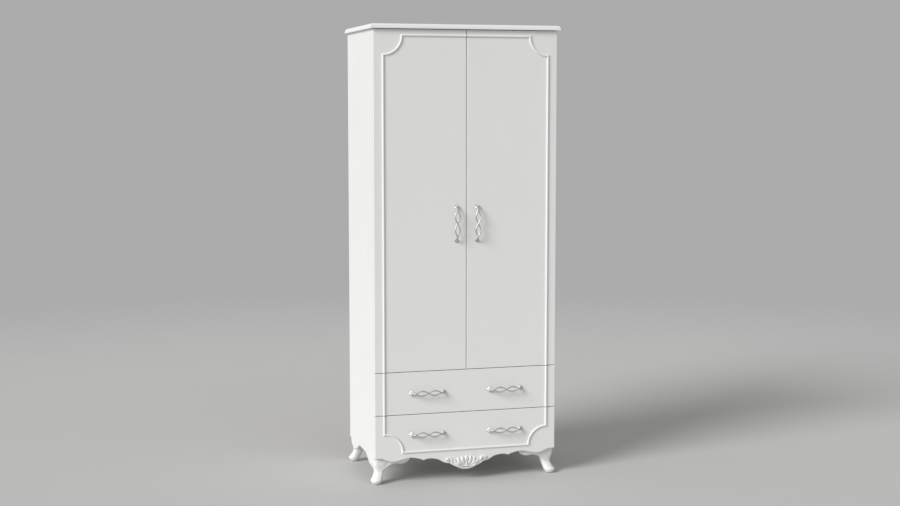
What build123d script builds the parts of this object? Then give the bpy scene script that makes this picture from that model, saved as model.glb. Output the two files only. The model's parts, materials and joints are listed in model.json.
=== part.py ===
"""White two-door wardrobe with two drawers, a moulded cornice and four cabriole feet.

Frame: +X to the right, +Y to the back, +Z up, origin under the middle of the whole object on the floor.
Every size is in millimetres.
"""
from build123d import *
import os

# Overall sizes
WIDTH = 900.0              # across the outer faces of the side panels
DEPTH = 565.0              # from the front faces of doors and drawers to the back edges of the sides
HEIGHT = 2176.0            # from the floor to the top of the cornice
HANDLE_PROJECTION = 32.0   # how far the handles stand in front of the doors

# Boards
PANEL = 18.0               # carcass board
FRONT_T = 20.0             # door and drawer front board
FRONT_EDGE_R = 2.0         # softened front edge of doors and drawer fronts
BOX_BOARD = 15.0           # drawer box board
HARDBOARD = 3.0            # back panel and drawer bottoms
BUMPER_GAP = 2.0           # closed front to carcass edge
REVEAL = 3.0               # gap between neighbouring fronts

# Levels
FOOT_H = 122.0             # underside of the carcass
CORNICE_H = 22.0
CORNICE_OVERHANG = 15.0
CORNICE_LIP = 6.0          # upright lip under the rounded edge
CORNICE_STEP = 2.0         # small step between the lip and the rounding
DOOR_GAP_Z = 540.5         # middle of the gap between doors and upper drawer
DRAWER_GAP_Z = 335.0       # middle of the gap between the two drawers
HAT_SHELF_Z = 1804.0       # underside of the hat shelf
RAIL_Z = 1739.0            # axis of the hanging rail

# Derived planes
HALF_W = WIDTH / 2
FRONT_Y = (HANDLE_PROJECTION - DEPTH) / 2       # front face of doors and drawers
BACK_Y = FRONT_Y + DEPTH                        # back edge of the side panels
FRONT_BACK_Y = FRONT_Y + FRONT_T                # back face of doors and drawer fronts
CASE_Y = FRONT_BACK_Y + BUMPER_GAP              # front edge of the carcass
INNER_X = HALF_W - PANEL                        # inner face of a side panel
CASE_TOP = HEIGHT - CORNICE_H
DOOR_Z0 = DOOR_GAP_Z + REVEAL / 2
DOOR_Z1 = CASE_TOP - REVEAL
UPPER_Z0 = DRAWER_GAP_Z + REVEAL / 2
UPPER_Z1 = DOOR_GAP_Z - REVEAL / 2
LOWER_Z1 = DRAWER_GAP_Z - REVEAL / 2

# Back panel groove in the sides
GROOVE_INSET = 10.0        # groove to the back edge of the side
GROOVE_W = HARDBOARD + 0.2
GROOVE_DEEP = 8.0
BACK_PLAY = 0.5            # back panel to the bottom of its grooves
BACK_SHORT = 2.5           # back panel to the ends of the sides
GROOVE_Y = BACK_Y - GROOVE_INSET - GROOVE_W     # front wall of the groove

# Cam locks in the fixed boards
CAM_R = 7.5
CAM_DEEP = 12.0
CAM_BORE_PLAY = 0.1
CAM_INSET = 24.0           # cam axis to the side panel
CAM_Y_STEPS = (120.0, 430.0)    # cam axes behind the carcass front edge
CAM_SLOT = (9.0, 1.6, 2.5)      # length, width and depth of the driver slot

# Shelf pins and hanging rail
PIN_R = 2.5
PIN_OUT = 9.0              # length in the side panel, and again under the shelf
PIN_Y_STEPS = (60.0, 440.0)
SHELF_PLAY = 0.5
HAT_SHELF_DEEP = 490.0
HAT_SHELF_SETBACK = 9.0    # shelf behind the carcass front edge
RAIL_H = 30.0
RAIL_W = 15.0
RAIL_WALL = 1.2
SOCKET_WALL = 3.0
SOCKET_LONG = 14.0
RAIL_END_PLAY = 0.5        # rail end to the socket's floor
RAIL_PLAY = 0.1            # rail to the socket's wall
RAIL_Y = (CASE_Y + GROOVE_Y) / 2

# Bead moulding
BEAD_X = 404.0             # axis of the upright runs
BEAD_TOP_Z = 2123.0
BEAD_BOTTOM_Z = 154.0
BEAD_SCOOP_R = 90.0        # scooped corners, centred on the corner point
BEAD_W = 13.0
BEAD_FOOT = 1.5            # height of the flat strip on each side of the round
BEAD_ROUND_W = 10.0
BEAD_H = 6.0

# Handles
HOLE_SPACING = 160.0
LOOP_LONG = 62.0           # from one crossing of the strands to the next
LOOP_BULGE = 11.5          # strand axis from the handle axis at the middle of a loop
STRAND_W = 5.2             # each strand is a flat bar with softened edges
STRAND_T = 4.6
STRAND_SOFT = 1.4
STRAND_LAY = 2.0           # strand axis in front of or behind the common plane
STRAND_PLANE = HANDLE_PROJECTION - STRAND_LAY - STRAND_T / 2
NECK_R = 4.2
NECK_BEND = HOLE_SPACING / 2 - LOOP_LONG
COLLAR_R = 5.2             # ring that gathers the two strands
COLLAR_LONG = 9.0
NECK_PLANE = HANDLE_PROJECTION - COLLAR_R
ROSETTE_R = 12.0
ROSETTE_H = 4.0
ROSETTE_RIM = 1.0          # upright rim under the dome
ROSETTE_MID = (9.0, 3.2)   # point of the dome between rim and neck
SCREW_R = 2.0
SCREW_HEAD_R = 4.0
SCREW_HEAD_H = 2.6
SCREW_IN_POST = 12.0
DOOR_HANDLE_X = 51.0
DOOR_HANDLE_Z = 1242.0
DRAWER_HANDLE_X = 193.0
UPPER_HANDLE_Z = 438.0
LOWER_HANDLE_Z = 238.0

# Concealed hinges: x runs inwards from the outer face of the side, y outwards from the carcass front edge
HINGES_PER_DOOR = 4
HINGE_END = 100.0          # first and last hinge to the door's end
ARM_PIVOT = (24.0, -3.0)
CUP_PIVOT = (9.0, 6.9)
CUP_X = 22.5               # cup axis
CUP_R = 17.5
CUP_DEEP = 12.0
CUP_WALL = 0.8
CUP_BORE_PLAY = 0.1
FLANGE = (20.0, 37.0, 1.2, 26.0)    # from, to, thickness, half height
PIVOT_R = 1.5
PIVOT_PLAY = 0.05
LINK_T = 2.6
LINK_HALF = 4.8            # half height of the link
LINK_BENDS = ((20.6, 8.3), (15.3, 11.1), (12.0, 10.2))
LINK_EYE_R = 2.2
CHEEK_T = 1.6
CHEEK_PLAY = 0.3
ARM_EYE_R = 2.8
ARM_BACK = -62.0
ARM_WEB = (26.4, 29.4)
PLATE_T = 1.6
PLATE_BLOCK = (-58.0, -22.0)
PLATE_WING = (-48.0, -30.0, 24.0)   # from, to, half height

# Drawer boxes and runners
DRAWER_TRAVEL = 450.0
BOX_H = 150.0
BOX_DEEP = 485.0
UPPER_BOX_Z = 356.0
LOWER_BOX_Z = 150.0
RUNNER_W = 13.0            # side panel to drawer box
RUNNER_LONG = 480.0
RUNNER_SHEET = 1.2
RUNNER_RISE = 55.0         # runner axis above the bottom edge of the box
RUNNER_HALF = (23.0, 18.0, 13.0)                # half heights of the three members
RUNNER_SPAN = ((0.0, 9.4), (3.0, 10.2), (5.6, RUNNER_W))   # each member from the side panel inwards
BOTTOM_UP = 12.0           # drawer bottom above the lower edge of the box sides
BOTTOM_TONGUE = 6.0
BOTTOM_PLAY = 0.1
BOX_X = INNER_X - RUNNER_W                      # outer face of a drawer side
BOX_BACK_Y = FRONT_BACK_Y + BOX_DEEP
BOTTOM_X = BOX_X - BOX_BOARD + BOTTOM_TONGUE    # edge of the drawer bottom

# Cabriole feet: each row is height, then how far the section reaches outside and inside the carcass corner
GLIDE_T = 3.0
GLIDE_R = 13.0
FOOT_SECTIONS = (
    (GLIDE_T, 7.0, 34.0, 0.48),
    (17.0, 14.0, 40.0, 0.48),
    (36.0, 3.0, 48.0, 0.42),
    (60.0, -6.0, 55.0, 0.38),
    (98.0, 0.0, 70.0, 0.30),
    (FOOT_H, 1.0, 78.0, 0.22),
)
REAR_FOOT_INSET = 18.0
WING_T = 18.0
WING_INSET = 1.0
FRONT_WING = ((40.0, 74.0), (104.0, 96.0), (144.0, 92.5), (178.0, FOOT_H))
SIDE_WING = ((40.0, 72.0), (118.0, 83.0), (148.0, 98.0), (200.0, FOOT_H))
FRONT_WING_TIP = (0.1, 1.0)         # direction of the lower edge where it meets the carcass
SIDE_WING_TIP = (1.0, 0.5)
WING_ROOT = (1.0, 0.3)              # direction of the lower edge where it leaves the leg
BOLT_R = 4.0
BOLT_INSET = 34.0
BOLT_DOWN = 30.0
BOLT_UP = 13.0
BOLT_PLAY = 0.1

# Apron edge of the lower drawer, from the outer end to the middle, as three curves between sharp points
APRON_END_Z = 130.0
APRON_OUTER = ((428.0, 130.0), (395.0, 119.8), (362.0, 112.0), (320.0, 118.0), (278.0, 126.0),
               (240.0, 120.0), (213.0, 109.0))
APRON_INNER = ((213.0, 109.0), (175.0, 116.0), (133.0, 106.0), (90.0, 87.5))
APRON_DROP = ((82.0, 87.5), (44.0, 64.5), (0.0, 53.0))
APRON_OUTER_ENDS = ((-1.0, 0.0), (-0.55, -0.5))     # directions at the two ends of each curve
APRON_INNER_ENDS = ((-0.8, 0.5), (-1.0, -0.15))
APRON_DROP_ENDS = ((-1.0, -0.25), (-1.0, 0.0))

# Carved ornament on the apron: outline of its right half, with a raised oval on it
CARVING_T = 6.0
CARVING_RISE = 5.0
CARVING_FIELD = (72.0, 15.0, 93.0)    # half length, half height and middle height of the raised oval
CARVING_OUTLINE = ((0.0, 117.0), (24.0, 112.0), (66.0, 110.0), (102.0, 108.0))
CARVING_UNDER = ((102.0, 108.0), (84.0, 95.0), (44.0, 70.5), (0.0, 58.0))

BUMPER_R = 4.0
BUMPER_T = 1.8
BUMPER_IN = 9.0            # upper bumper below the top edge of the door
BUMPER_LOW = 5.0           # lower bumper above the bottom edge of the door
BUMPER_SIDE = 18.0         # bumpers in from the closing edge


def slab(x0, x1, y0, y1, z0, z1):
    """A board between two opposite corners."""
    return Pos((x0 + x1) / 2, (y0 + y1) / 2, (z0 + z1) / 2) * Box(x1 - x0, y1 - y0, z1 - z0)


def upright(y):
    """A plane facing the viewer at depth y: its x is +X, its y is +Z, and it extrudes to the front."""
    return Plane(origin=(0, y, 0), x_dir=(1, 0, 0), z_dir=(0, -1, 0))


def level(z):
    """A level plane at height z, extruding upwards."""
    return Plane(origin=(0, 0, z))


def mirrored(shape):
    """The same shape on the other side of the middle plane."""
    return mirror(shape, about=Plane.YZ)


def rod(axis_start, axis_end, radius):
    """A round bar between two points."""
    start = Vector(*axis_start)
    along = Vector(*axis_end) - start
    return extrude(Plane(origin=start, z_dir=along) * Circle(radius), along.length)


def group(solids):
    """Several separate solids kept together as one piece."""
    return Compound(children=[solid for item in solids for solid in item.solids()])


# Carcass boards

def side_panel(sign):
    """A side with the back panel's groove and blind holes for the shelf pins."""
    inner = sign * INNER_X
    outer = sign * HALF_W
    board = slab(min(inner, outer), max(inner, outer), CASE_Y, BACK_Y, FOOT_H, CASE_TOP)
    deep = sign * (INNER_X + GROOVE_DEEP)
    board -= slab(min(inner, deep), max(inner, deep), GROOVE_Y, GROOVE_Y + GROOVE_W, FOOT_H, CASE_TOP)
    for step in PIN_Y_STEPS:
        hole_z = HAT_SHELF_Z - PIN_R
        hole_end = sign * (INNER_X + PIN_OUT)
        board -= rod((inner, CASE_Y + step, hole_z), (hole_end, CASE_Y + step, hole_z), PIN_R)
    return board


def cam_places(z):
    """The four cam axes of a fixed board, on its underside at height z."""
    return [(sign * (INNER_X - CAM_INSET), CASE_Y + step, z) for sign in (-1, 1) for step in CAM_Y_STEPS]


def fixed_board(z):
    """A board between the sides with four cam bores in its underside."""
    board = slab(-INNER_X, INNER_X, CASE_Y, GROOVE_Y, z, z + PANEL)
    for x, y, bore_z in cam_places(z):
        board -= rod((x, y, bore_z), (x, y, bore_z + CAM_DEEP), CAM_R + CAM_BORE_PLAY)
    return board


def bottom_panel():
    """The bottom board, which also takes the foot bolts."""
    board = fixed_board(FOOT_H)
    for x, y in foot_bolt_places():
        board -= rod((x, y, FOOT_H), (x, y, FOOT_H + BOLT_UP), BOLT_R + BOLT_PLAY)
    return board


def cam_lock(x, y, z):
    """A cam disc with a driver slot in its lower face."""
    disc = rod((x, y, z), (x, y, z + CAM_DEEP - CAM_BORE_PLAY), CAM_R)
    long, wide, deep = CAM_SLOT
    disc -= slab(x - long / 2, x + long / 2, y - wide / 2, y + wide / 2, z, z + deep)
    return disc


def back_panel():
    """Hardboard that slides into the grooves of the sides."""
    play = (GROOVE_W - HARDBOARD) / 2
    half = INNER_X + GROOVE_DEEP - BACK_PLAY
    y0 = GROOVE_Y + play
    return slab(-half, half, y0, y0 + HARDBOARD, FOOT_H + BACK_SHORT, CASE_TOP - BACK_SHORT)


def cornice():
    """The top board: one edge profile run along the front and both ends, meeting in mitres."""
    lip = CORNICE_LIP
    step = CORNICE_STEP
    reach_x = HALF_W + CORNICE_OVERHANG
    reach_y = FRONT_Y - CORNICE_OVERHANG
    rise = CORNICE_H - lip - step
    with BuildSketch() as ends:
        with BuildLine():
            right = Polyline((0, 0), (reach_x, 0), (reach_x, lip), (reach_x - step, lip + step))
            bow = RadiusArc(right @ 1, (reach_x - step - rise, CORNICE_H), -rise)
            Polyline(bow @ 1, (0, CORNICE_H), (0, 0))
        make_face()
        mirror(about=Plane.YZ)
    with BuildSketch() as front:
        with BuildLine():
            edge = Polyline((BACK_Y, 0), (reach_y, 0), (reach_y, lip), (reach_y + step, lip + step))
            bow = RadiusArc(edge @ 1, (reach_y + step + rise, CORNICE_H), rise)
            Polyline(bow @ 1, (BACK_Y, CORNICE_H), (BACK_Y, 0))
        make_face()
    along_y = extrude(Plane(origin=(0, BACK_Y, CASE_TOP), x_dir=(1, 0, 0), z_dir=(0, -1, 0)) * ends.sketch,
                      BACK_Y - reach_y)
    along_x = extrude(Plane(origin=(-reach_x, 0, CASE_TOP), x_dir=(0, 1, 0), z_dir=(1, 0, 0)) * front.sketch,
                      2 * reach_x)
    return along_y & along_x


def hat_shelf():
    """A loose shelf resting on four pins."""
    half = INNER_X - SHELF_PLAY
    y0 = CASE_Y + HAT_SHELF_SETBACK
    return slab(-half, half, y0, y0 + HAT_SHELF_DEEP, HAT_SHELF_Z, HAT_SHELF_Z + PANEL)


def shelf_pins():
    """Four steel pins, half in the side panels and half under the hat shelf."""
    pins = []
    for sign in (-1, 1):
        for step in PIN_Y_STEPS:
            z = HAT_SHELF_Z - PIN_R
            y = CASE_Y + step
            pins.append(rod((sign * (INNER_X - PIN_OUT), y, z), (sign * (INNER_X + PIN_OUT), y, z), PIN_R))
    return group(pins)


def rail_section(grow):
    """The rail's oval section, offset outwards, on a plane across the rail."""
    return SlotOverall(RAIL_H + 2 * grow, RAIL_W + 2 * grow, rotation=90)


def across(x):
    """A plane across the wardrobe's width, on the rail's axis."""
    return Plane(origin=(x, RAIL_Y, RAIL_Z), x_dir=(0, 1, 0), z_dir=(1, 0, 0))


def hanging_rail():
    """An oval steel tube."""
    half = INNER_X - SOCKET_WALL - RAIL_END_PLAY
    return extrude(across(-half) * (rail_section(0) - rail_section(-RAIL_WALL)), 2 * half)


def rail_socket(sign):
    """An oval cup on the side panel that holds one end of the rail."""
    start = min(sign * INNER_X, sign * (INNER_X - SOCKET_LONG))
    cup = extrude(across(start) * rail_section(SOCKET_WALL), SOCKET_LONG)
    pocket_start = start if sign > 0 else start + SOCKET_WALL
    cup -= extrude(across(pocket_start) * rail_section(RAIL_PLAY), SOCKET_LONG - SOCKET_WALL)
    return cup


# Feet

def foot_corner(rear):
    """The carcass corner that a right-hand foot is set out from, and its outward direction in Y."""
    if rear:
        return HALF_W, BACK_Y - REAR_FOOT_INSET, 1
    return HALF_W, CASE_Y, -1


def foot_bolt_places():
    """Axes of the four foot bolts."""
    places = []
    for rear in (False, True):
        x, y, way = foot_corner(rear)
        for sign in (-1, 1):
            places.append((sign * (x - BOLT_INSET), y - way * BOLT_INSET))
    return places


def wing_face(points, tip):
    """A bracket wing: flat against the carcass, its lower edge one flowing curve."""
    with BuildSketch() as face:
        with BuildLine():
            edge = Spline(*points, tangents=(WING_ROOT, tip))
            Polyline(edge @ 1, (points[0][0], FOOT_H), edge @ 0)
        make_face()
    return face.sketch


def cabriole_foot(rear):
    """A right-hand foot: a soft-square leg lofted from knee to pad, with a wing along each side."""
    x, y, way = foot_corner(rear)
    sections = []
    for z, outside, inside, soft in FOOT_SECTIONS:
        size = outside + inside
        middle = (outside - inside) / 2
        sections.append(Pos(x + middle, y + way * middle, z) * RectangleRounded(size, size, soft * size))
    leg = loft(Sketch() + sections)
    front_plane = Plane(origin=(x, y - way * WING_INSET, 0), x_dir=(-1, 0, 0), z_dir=(0, 1, 0))
    front_wing = extrude(front_plane * wing_face(FRONT_WING, FRONT_WING_TIP), -way * WING_T)
    side_plane = Plane(origin=(x - WING_INSET, y, 0), x_dir=(0, -way, 0), z_dir=(-way, 0, 0))
    side_wing = extrude(side_plane * wing_face(SIDE_WING, SIDE_WING_TIP), way * WING_T)
    foot = leg + front_wing + side_wing
    bolt_x = x - BOLT_INSET
    bolt_y = y - way * BOLT_INSET
    foot -= rod((bolt_x, bolt_y, FOOT_H - BOLT_DOWN), (bolt_x, bolt_y, FOOT_H), BOLT_R + BOLT_PLAY)
    return foot


def glide(x, y):
    """A felt disc under a foot."""
    return rod((x, y, 0), (x, y, GLIDE_T), GLIDE_R)


def glide_places():
    """Centres of the four feet's pads."""
    outside, inside = FOOT_SECTIONS[0][1:3]
    middle = (outside - inside) / 2
    places = []
    for rear in (False, True):
        x, y, way = foot_corner(rear)
        for sign in (-1, 1):
            places.append((sign * (x + middle), y + way * middle))
    return places


def foot_bolt(x, y):
    """A bolt that draws a foot up to the bottom panel."""
    top = FOOT_H + BOLT_UP - BOLT_PLAY
    return rod((x, y, FOOT_H - BOLT_DOWN + BOLT_PLAY), (x, y, top), BOLT_R)


# Bead moulding

def bead_section():
    """Half-round bead between two narrow flats, with its base on the local x axis."""
    with BuildSketch() as section:
        with BuildLine():
            half = BEAD_ROUND_W / 2
            ThreePointArc((-half, BEAD_FOOT), (0, BEAD_H), (half, BEAD_FOOT))
            Polyline((half, BEAD_FOOT), (BEAD_W / 2, BEAD_FOOT), (BEAD_W / 2, 0), (-BEAD_W / 2, 0),
                     (-BEAD_W / 2, BEAD_FOOT), (-half, BEAD_FOOT))
        make_face()
    return section.sketch


def bead_along(path):
    """Bead moulding run along a path on the front faces, mitred at its sharp corners."""
    start = path @ 0
    ahead = path % 0
    plane = Plane(origin=start, x_dir=Vector(0, -1, 0).cross(ahead), z_dir=ahead)
    if plane.y_dir.Y > 0:
        plane = Plane(origin=start, x_dir=-plane.x_dir, z_dir=ahead)
    return sweep(plane * bead_section(), path=path, transition=Transition.RIGHT)


def scoop(corner_x, corner_z, sign, down):
    """Quarter circle about an outer corner, from its inner end to its upright end."""
    inner = (corner_x - sign * BEAD_SCOOP_R, FRONT_Y, corner_z)
    lower = (corner_x, FRONT_Y, corner_z + down * BEAD_SCOOP_R)
    slant = BEAD_SCOOP_R * 0.5 ** 0.5
    middle = (corner_x - sign * slant, FRONT_Y, corner_z + down * slant)
    return inner, middle, lower


def door_bead():
    """Right door's bead: top run, scooped corner and upright run."""
    inner, middle, lower = scoop(BEAD_X, BEAD_TOP_Z, 1, -1)
    with BuildLine() as path:
        Line((REVEAL / 2, FRONT_Y, BEAD_TOP_Z), inner)
        ThreePointArc(inner, middle, lower)
        Line(lower, (BEAD_X, FRONT_Y, DOOR_Z0))
    return bead_along(path.wire())


def upper_drawer_beads():
    """Two upright runs on the upper drawer."""
    runs = []
    for sign in (-1, 1):
        with BuildLine() as path:
            Line((sign * BEAD_X, FRONT_Y, UPPER_Z1), (sign * BEAD_X, FRONT_Y, UPPER_Z0))
        runs.append(bead_along(path.wire()))
    return group(runs)


def lower_drawer_bead():
    """One bead round the lower drawer: upright, scoop, bottom run, scoop, upright."""
    inner, middle, lower = scoop(BEAD_X, BEAD_BOTTOM_Z, 1, 1)
    flip = [(-x, y, z) for x, y, z in (inner, middle, lower)]
    with BuildLine() as path:
        Line((-BEAD_X, FRONT_Y, LOWER_Z1), flip[2])
        ThreePointArc(flip[2], flip[1], flip[0])
        Line(flip[0], inner)
        ThreePointArc(inner, middle, lower)
        Line(lower, (BEAD_X, FRONT_Y, LOWER_Z1))
    return bead_along(path.wire())


# Handles

def strand(side):
    """One strand: a flat bar that swings from one side of the handle's axis to the other."""
    bulge = side * LOOP_BULGE
    with BuildSketch() as ribbon:
        with BuildLine():
            ThreePointArc((0, -LOOP_LONG), (bulge, -LOOP_LONG / 2), (0, 0))
            ThreePointArc((0, 0), (-bulge, LOOP_LONG / 2), (0, LOOP_LONG))
        trace(line_width=STRAND_W)
    back = upright(-STRAND_PLANE + side * STRAND_LAY + STRAND_T / 2)
    bar = extrude(back * ribbon.sketch, STRAND_T)
    rims = bar.faces().sort_by(Axis.Y)[0].edges() + bar.faces().sort_by(Axis.Y)[-1].edges()
    return chamfer(rims, STRAND_SOFT)


def handle_end(sign):
    """A round foot on the door and a neck that bends into the strands."""
    post_z = sign * HOLE_SPACING / 2
    with BuildSketch() as half_profile:
        with BuildLine():
            Polyline((0, 0), (ROSETTE_R, 0), (ROSETTE_R, ROSETTE_RIM))
            ThreePointArc((ROSETTE_R, ROSETTE_RIM), ROSETTE_MID, (NECK_R, ROSETTE_H))
            Polyline((NECK_R, ROSETTE_H), (0, ROSETTE_H), (0, 0))
        make_face()
    rosette = revolve(Plane(origin=(0, 0, post_z), x_dir=(1, 0, 0), z_dir=(0, 0, 1)) *
                      (Rot(Z=180) * half_profile.sketch), axis=Axis((0, 0, post_z), (0, 1, 0)))
    bend_start = -NECK_PLANE + NECK_BEND
    slant = NECK_BEND * 0.5 ** 0.5
    elbow = (0, bend_start - slant, sign * (LOOP_LONG + slant))
    with BuildLine() as path:
        Line((0, -ROSETTE_H / 2, post_z), (0, bend_start, post_z))
        ThreePointArc((0, bend_start, post_z), elbow, (0, -NECK_PLANE, sign * LOOP_LONG))
    wire = path.wire()
    neck = sweep(Plane(origin=wire @ 0, x_dir=(1, 0, 0), z_dir=wire % 0) * Circle(NECK_R), path=wire)
    collar_from = (0, -NECK_PLANE, sign * (LOOP_LONG - COLLAR_LONG / 2))
    collar_to = (0, -NECK_PLANE, sign * (LOOP_LONG + COLLAR_LONG / 2))
    return rosette + neck + rod(collar_from, collar_to, COLLAR_R)


def bow_handle():
    """An upright handle on a face at y = 0: two strands crossing between two feet, with a screw hole in each."""
    body = strand(1) + strand(-1) + handle_end(1) + handle_end(-1)
    for sign in (-1, 1):
        z = sign * HOLE_SPACING / 2
        body -= rod((0, 0, z), (0, -SCREW_IN_POST, z), SCREW_R)
    return body


def handle_screw(x, z):
    """A screw from behind a front into the foot of a handle."""
    shank = rod((x, FRONT_BACK_Y, z), (x, FRONT_Y - SCREW_IN_POST, z), SCREW_R)
    return shank + rod((x, FRONT_BACK_Y, z), (x, FRONT_BACK_Y + SCREW_HEAD_H, z), SCREW_HEAD_R)


def screw_holes(front, places):
    """A front with clearance holes for handle screws."""
    for x, z in places:
        front -= rod((x, FRONT_Y, z), (x, FRONT_BACK_Y, z), SCREW_R)
    return front


def upright_places(x, z):
    """Screw places of an upright handle."""
    return [(x, z - HOLE_SPACING / 2), (x, z + HOLE_SPACING / 2)]


def level_places(x, z):
    """Screw places of a level handle."""
    return [(x - HOLE_SPACING / 2, z), (x + HOLE_SPACING / 2, z)]


# Hinges, all drawn for the right door and mirrored for the left

def hinge_point(point, z=0.0):
    """A point of the hinge's own plan, in the wardrobe's frame on the right-hand side."""
    return (HALF_W - point[0], CASE_Y - point[1], z)


def hinge_levels():
    """Heights of one door's hinges."""
    first = DOOR_Z0 + HINGE_END
    step = (DOOR_Z1 - DOOR_Z0 - 2 * HINGE_END) / (HINGES_PER_DOOR - 1)
    return [first + index * step for index in range(HINGES_PER_DOOR)]


def hinge_slab(x0, x1, y0, y1, half, z):
    """A block in the hinge's own plan, centred on height z."""
    return slab(HALF_W - x1, HALF_W - x0, CASE_Y - y1, CASE_Y - y0, z - half, z + half)


def hinge_rod(point, half, radius, z):
    """An upright round bar at a point of the hinge's plan."""
    return rod(hinge_point(point, z - half), hinge_point(point, z + half), radius)


def hinge_plate(z):
    """Mounting plate: two screw wings and a raised block."""
    start, end, half = PLATE_WING
    wings = hinge_slab(PANEL, PANEL + PLATE_T, start, end, half, z)
    block_start, block_end = PLATE_BLOCK
    return wings + hinge_slab(PANEL, ARM_WEB[0], block_start, block_end, LINK_HALF, z)


def hinge_arm(z):
    """A bent-up channel over the mounting plate, ending in two cheeks with a bored eye."""
    outer = LINK_HALF + CHEEK_PLAY + CHEEK_T
    arm = hinge_slab(ARM_WEB[0], ARM_WEB[1], ARM_BACK, ARM_PIVOT[1] - 2 * ARM_EYE_R, outer, z)
    middle = LINK_HALF + CHEEK_PLAY + CHEEK_T / 2
    for side in (-1, 1):
        cheek_z = z + side * middle
        eye_left = ARM_PIVOT[0] - ARM_EYE_R
        arm += hinge_slab(eye_left, ARM_WEB[1], ARM_BACK, ARM_PIVOT[1], CHEEK_T / 2, cheek_z)
        arm += hinge_rod(ARM_PIVOT, CHEEK_T / 2, ARM_EYE_R, cheek_z)
    return arm - hinge_rod(ARM_PIVOT, outer, PIVOT_R, z)


def arm_pin(z):
    """Pivot pin held in the arm's cheeks."""
    return hinge_rod(ARM_PIVOT, LINK_HALF + CHEEK_PLAY + CHEEK_T, PIVOT_R, z)


def hinge_link(z):
    """A gooseneck strip that clears the edge of the door as it swings, with an eye at each end."""
    route = (ARM_PIVOT,) + LINK_BENDS + (CUP_PIVOT,)
    base = level(z - LINK_HALF)
    link = extrude(base * strip_outline(route), 2 * LINK_HALF)
    for pivot in (ARM_PIVOT, CUP_PIVOT):
        link += hinge_rod(pivot, LINK_HALF, LINK_EYE_R, z)
    for pivot in (ARM_PIVOT, CUP_PIVOT):
        link -= hinge_rod(pivot, LINK_HALF, PIVOT_R + PIVOT_PLAY, z)
    return link


def strip_outline(route):
    """Straight round-ended strips from each point of a hinge route to the next, as one outline."""
    outline = Sketch()
    for start, end in zip(route[:-1], route[1:]):
        a = Vector(*hinge_point(start))
        b = Vector(*hinge_point(end))
        middle = (a + b) * 0.5
        turn = Vector(1, 0, 0).get_signed_angle(b - a, Vector(0, 0, 1))
        outline += Pos(middle.X, middle.Y) * Rot(Z=turn) * SlotCenterToCenter((b - a).length, LINK_T)
    return outline


def cup_bore(z, play):
    """The round pocket for a hinge cup in a door's back."""
    start = hinge_point((CUP_X, BUMPER_GAP), z)
    end = hinge_point((CUP_X, BUMPER_GAP + CUP_DEEP), z)
    return rod(start, end, CUP_R + play)


def hinge_cup(z):
    """A drawn steel cup with a screw flange and holes for its pivot pin."""
    mouth = BUMPER_GAP
    cup = rod(hinge_point((CUP_X, mouth), z), hinge_point((CUP_X, mouth + CUP_DEEP - CUP_BORE_PLAY), z), CUP_R)
    start, end, thick, half = FLANGE
    cup += hinge_slab(start, end, mouth - thick, mouth, half, z)
    bottom = mouth + CUP_DEEP - CUP_BORE_PLAY - CUP_WALL
    cup -= rod(hinge_point((CUP_X, mouth - 2 * thick), z), hinge_point((CUP_X, bottom), z), CUP_R - CUP_WALL)
    return cup - cup_pin(z)


def cup_pin(z):
    """Pivot pin across the cup, held in the cup's wall."""
    off_axis = CUP_X - CUP_PIVOT[0] + PIVOT_R
    half = (CUP_R ** 2 - off_axis ** 2) ** 0.5 - PIVOT_PLAY
    return hinge_rod(CUP_PIVOT, half, PIVOT_R, z)


# Doors

def door_panel():
    """Right door: a board with softened front edges, cup bores and handle holes."""
    board = slab(REVEAL / 2, HALF_W, FRONT_Y, FRONT_BACK_Y, DOOR_Z0, DOOR_Z1)
    board = fillet(board.faces().sort_by(Axis.Y)[0].edges(), FRONT_EDGE_R)
    for z in hinge_levels():
        board -= cup_bore(z, CUP_BORE_PLAY)
    return screw_holes(board, upright_places(DOOR_HANDLE_X, DOOR_HANDLE_Z))


def door_bumpers():
    """Two soft discs on the right door's back, against the top panel and the fixed shelf."""
    x = REVEAL / 2 + BUMPER_SIDE
    levels = (DOOR_Z0 + BUMPER_LOW, DOOR_Z1 - BUMPER_IN)
    return group([rod((x, FRONT_BACK_Y, z), (x, FRONT_BACK_Y + BUMPER_T, z), BUMPER_R) for z in levels])


# Drawers

def bottom_groove(half_x, y0, y1, z):
    """The space of a drawer bottom, grown by its play."""
    return slab(-half_x, half_x, y0, y1, z - BOTTOM_PLAY, z + HARDBOARD + BOTTOM_PLAY)


def upper_front():
    """Plain drawer front with softened edges, a groove for the bottom and handle holes."""
    board = slab(-HALF_W, HALF_W, FRONT_Y, FRONT_BACK_Y, UPPER_Z0, UPPER_Z1)
    board = fillet(board.faces().sort_by(Axis.Y)[0].edges(), FRONT_EDGE_R)
    return finished_front(board, UPPER_BOX_Z, UPPER_HANDLE_Z)


def lower_front():
    """Drawer front whose lower edge is the wavy apron."""
    with BuildSketch() as face:
        with BuildLine():
            outer = Spline(*APRON_OUTER, tangents=APRON_OUTER_ENDS)
            inner = Spline(*APRON_INNER, tangents=APRON_INNER_ENDS)
            drop = Spline(*APRON_DROP, tangents=APRON_DROP_ENDS)
            Line(inner @ 1, drop @ 0)
            Polyline(drop @ 1, (0, LOWER_Z1), (HALF_W, LOWER_Z1), (HALF_W, APRON_END_Z), outer @ 0)
        make_face()
        mirror(about=Plane.YZ)
    board = extrude(upright(FRONT_BACK_Y) * face.sketch, FRONT_T)
    board = fillet(board.faces().sort_by(Axis.Y)[0].edges(), FRONT_EDGE_R)
    return finished_front(board, LOWER_BOX_Z, LOWER_HANDLE_Z)


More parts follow.
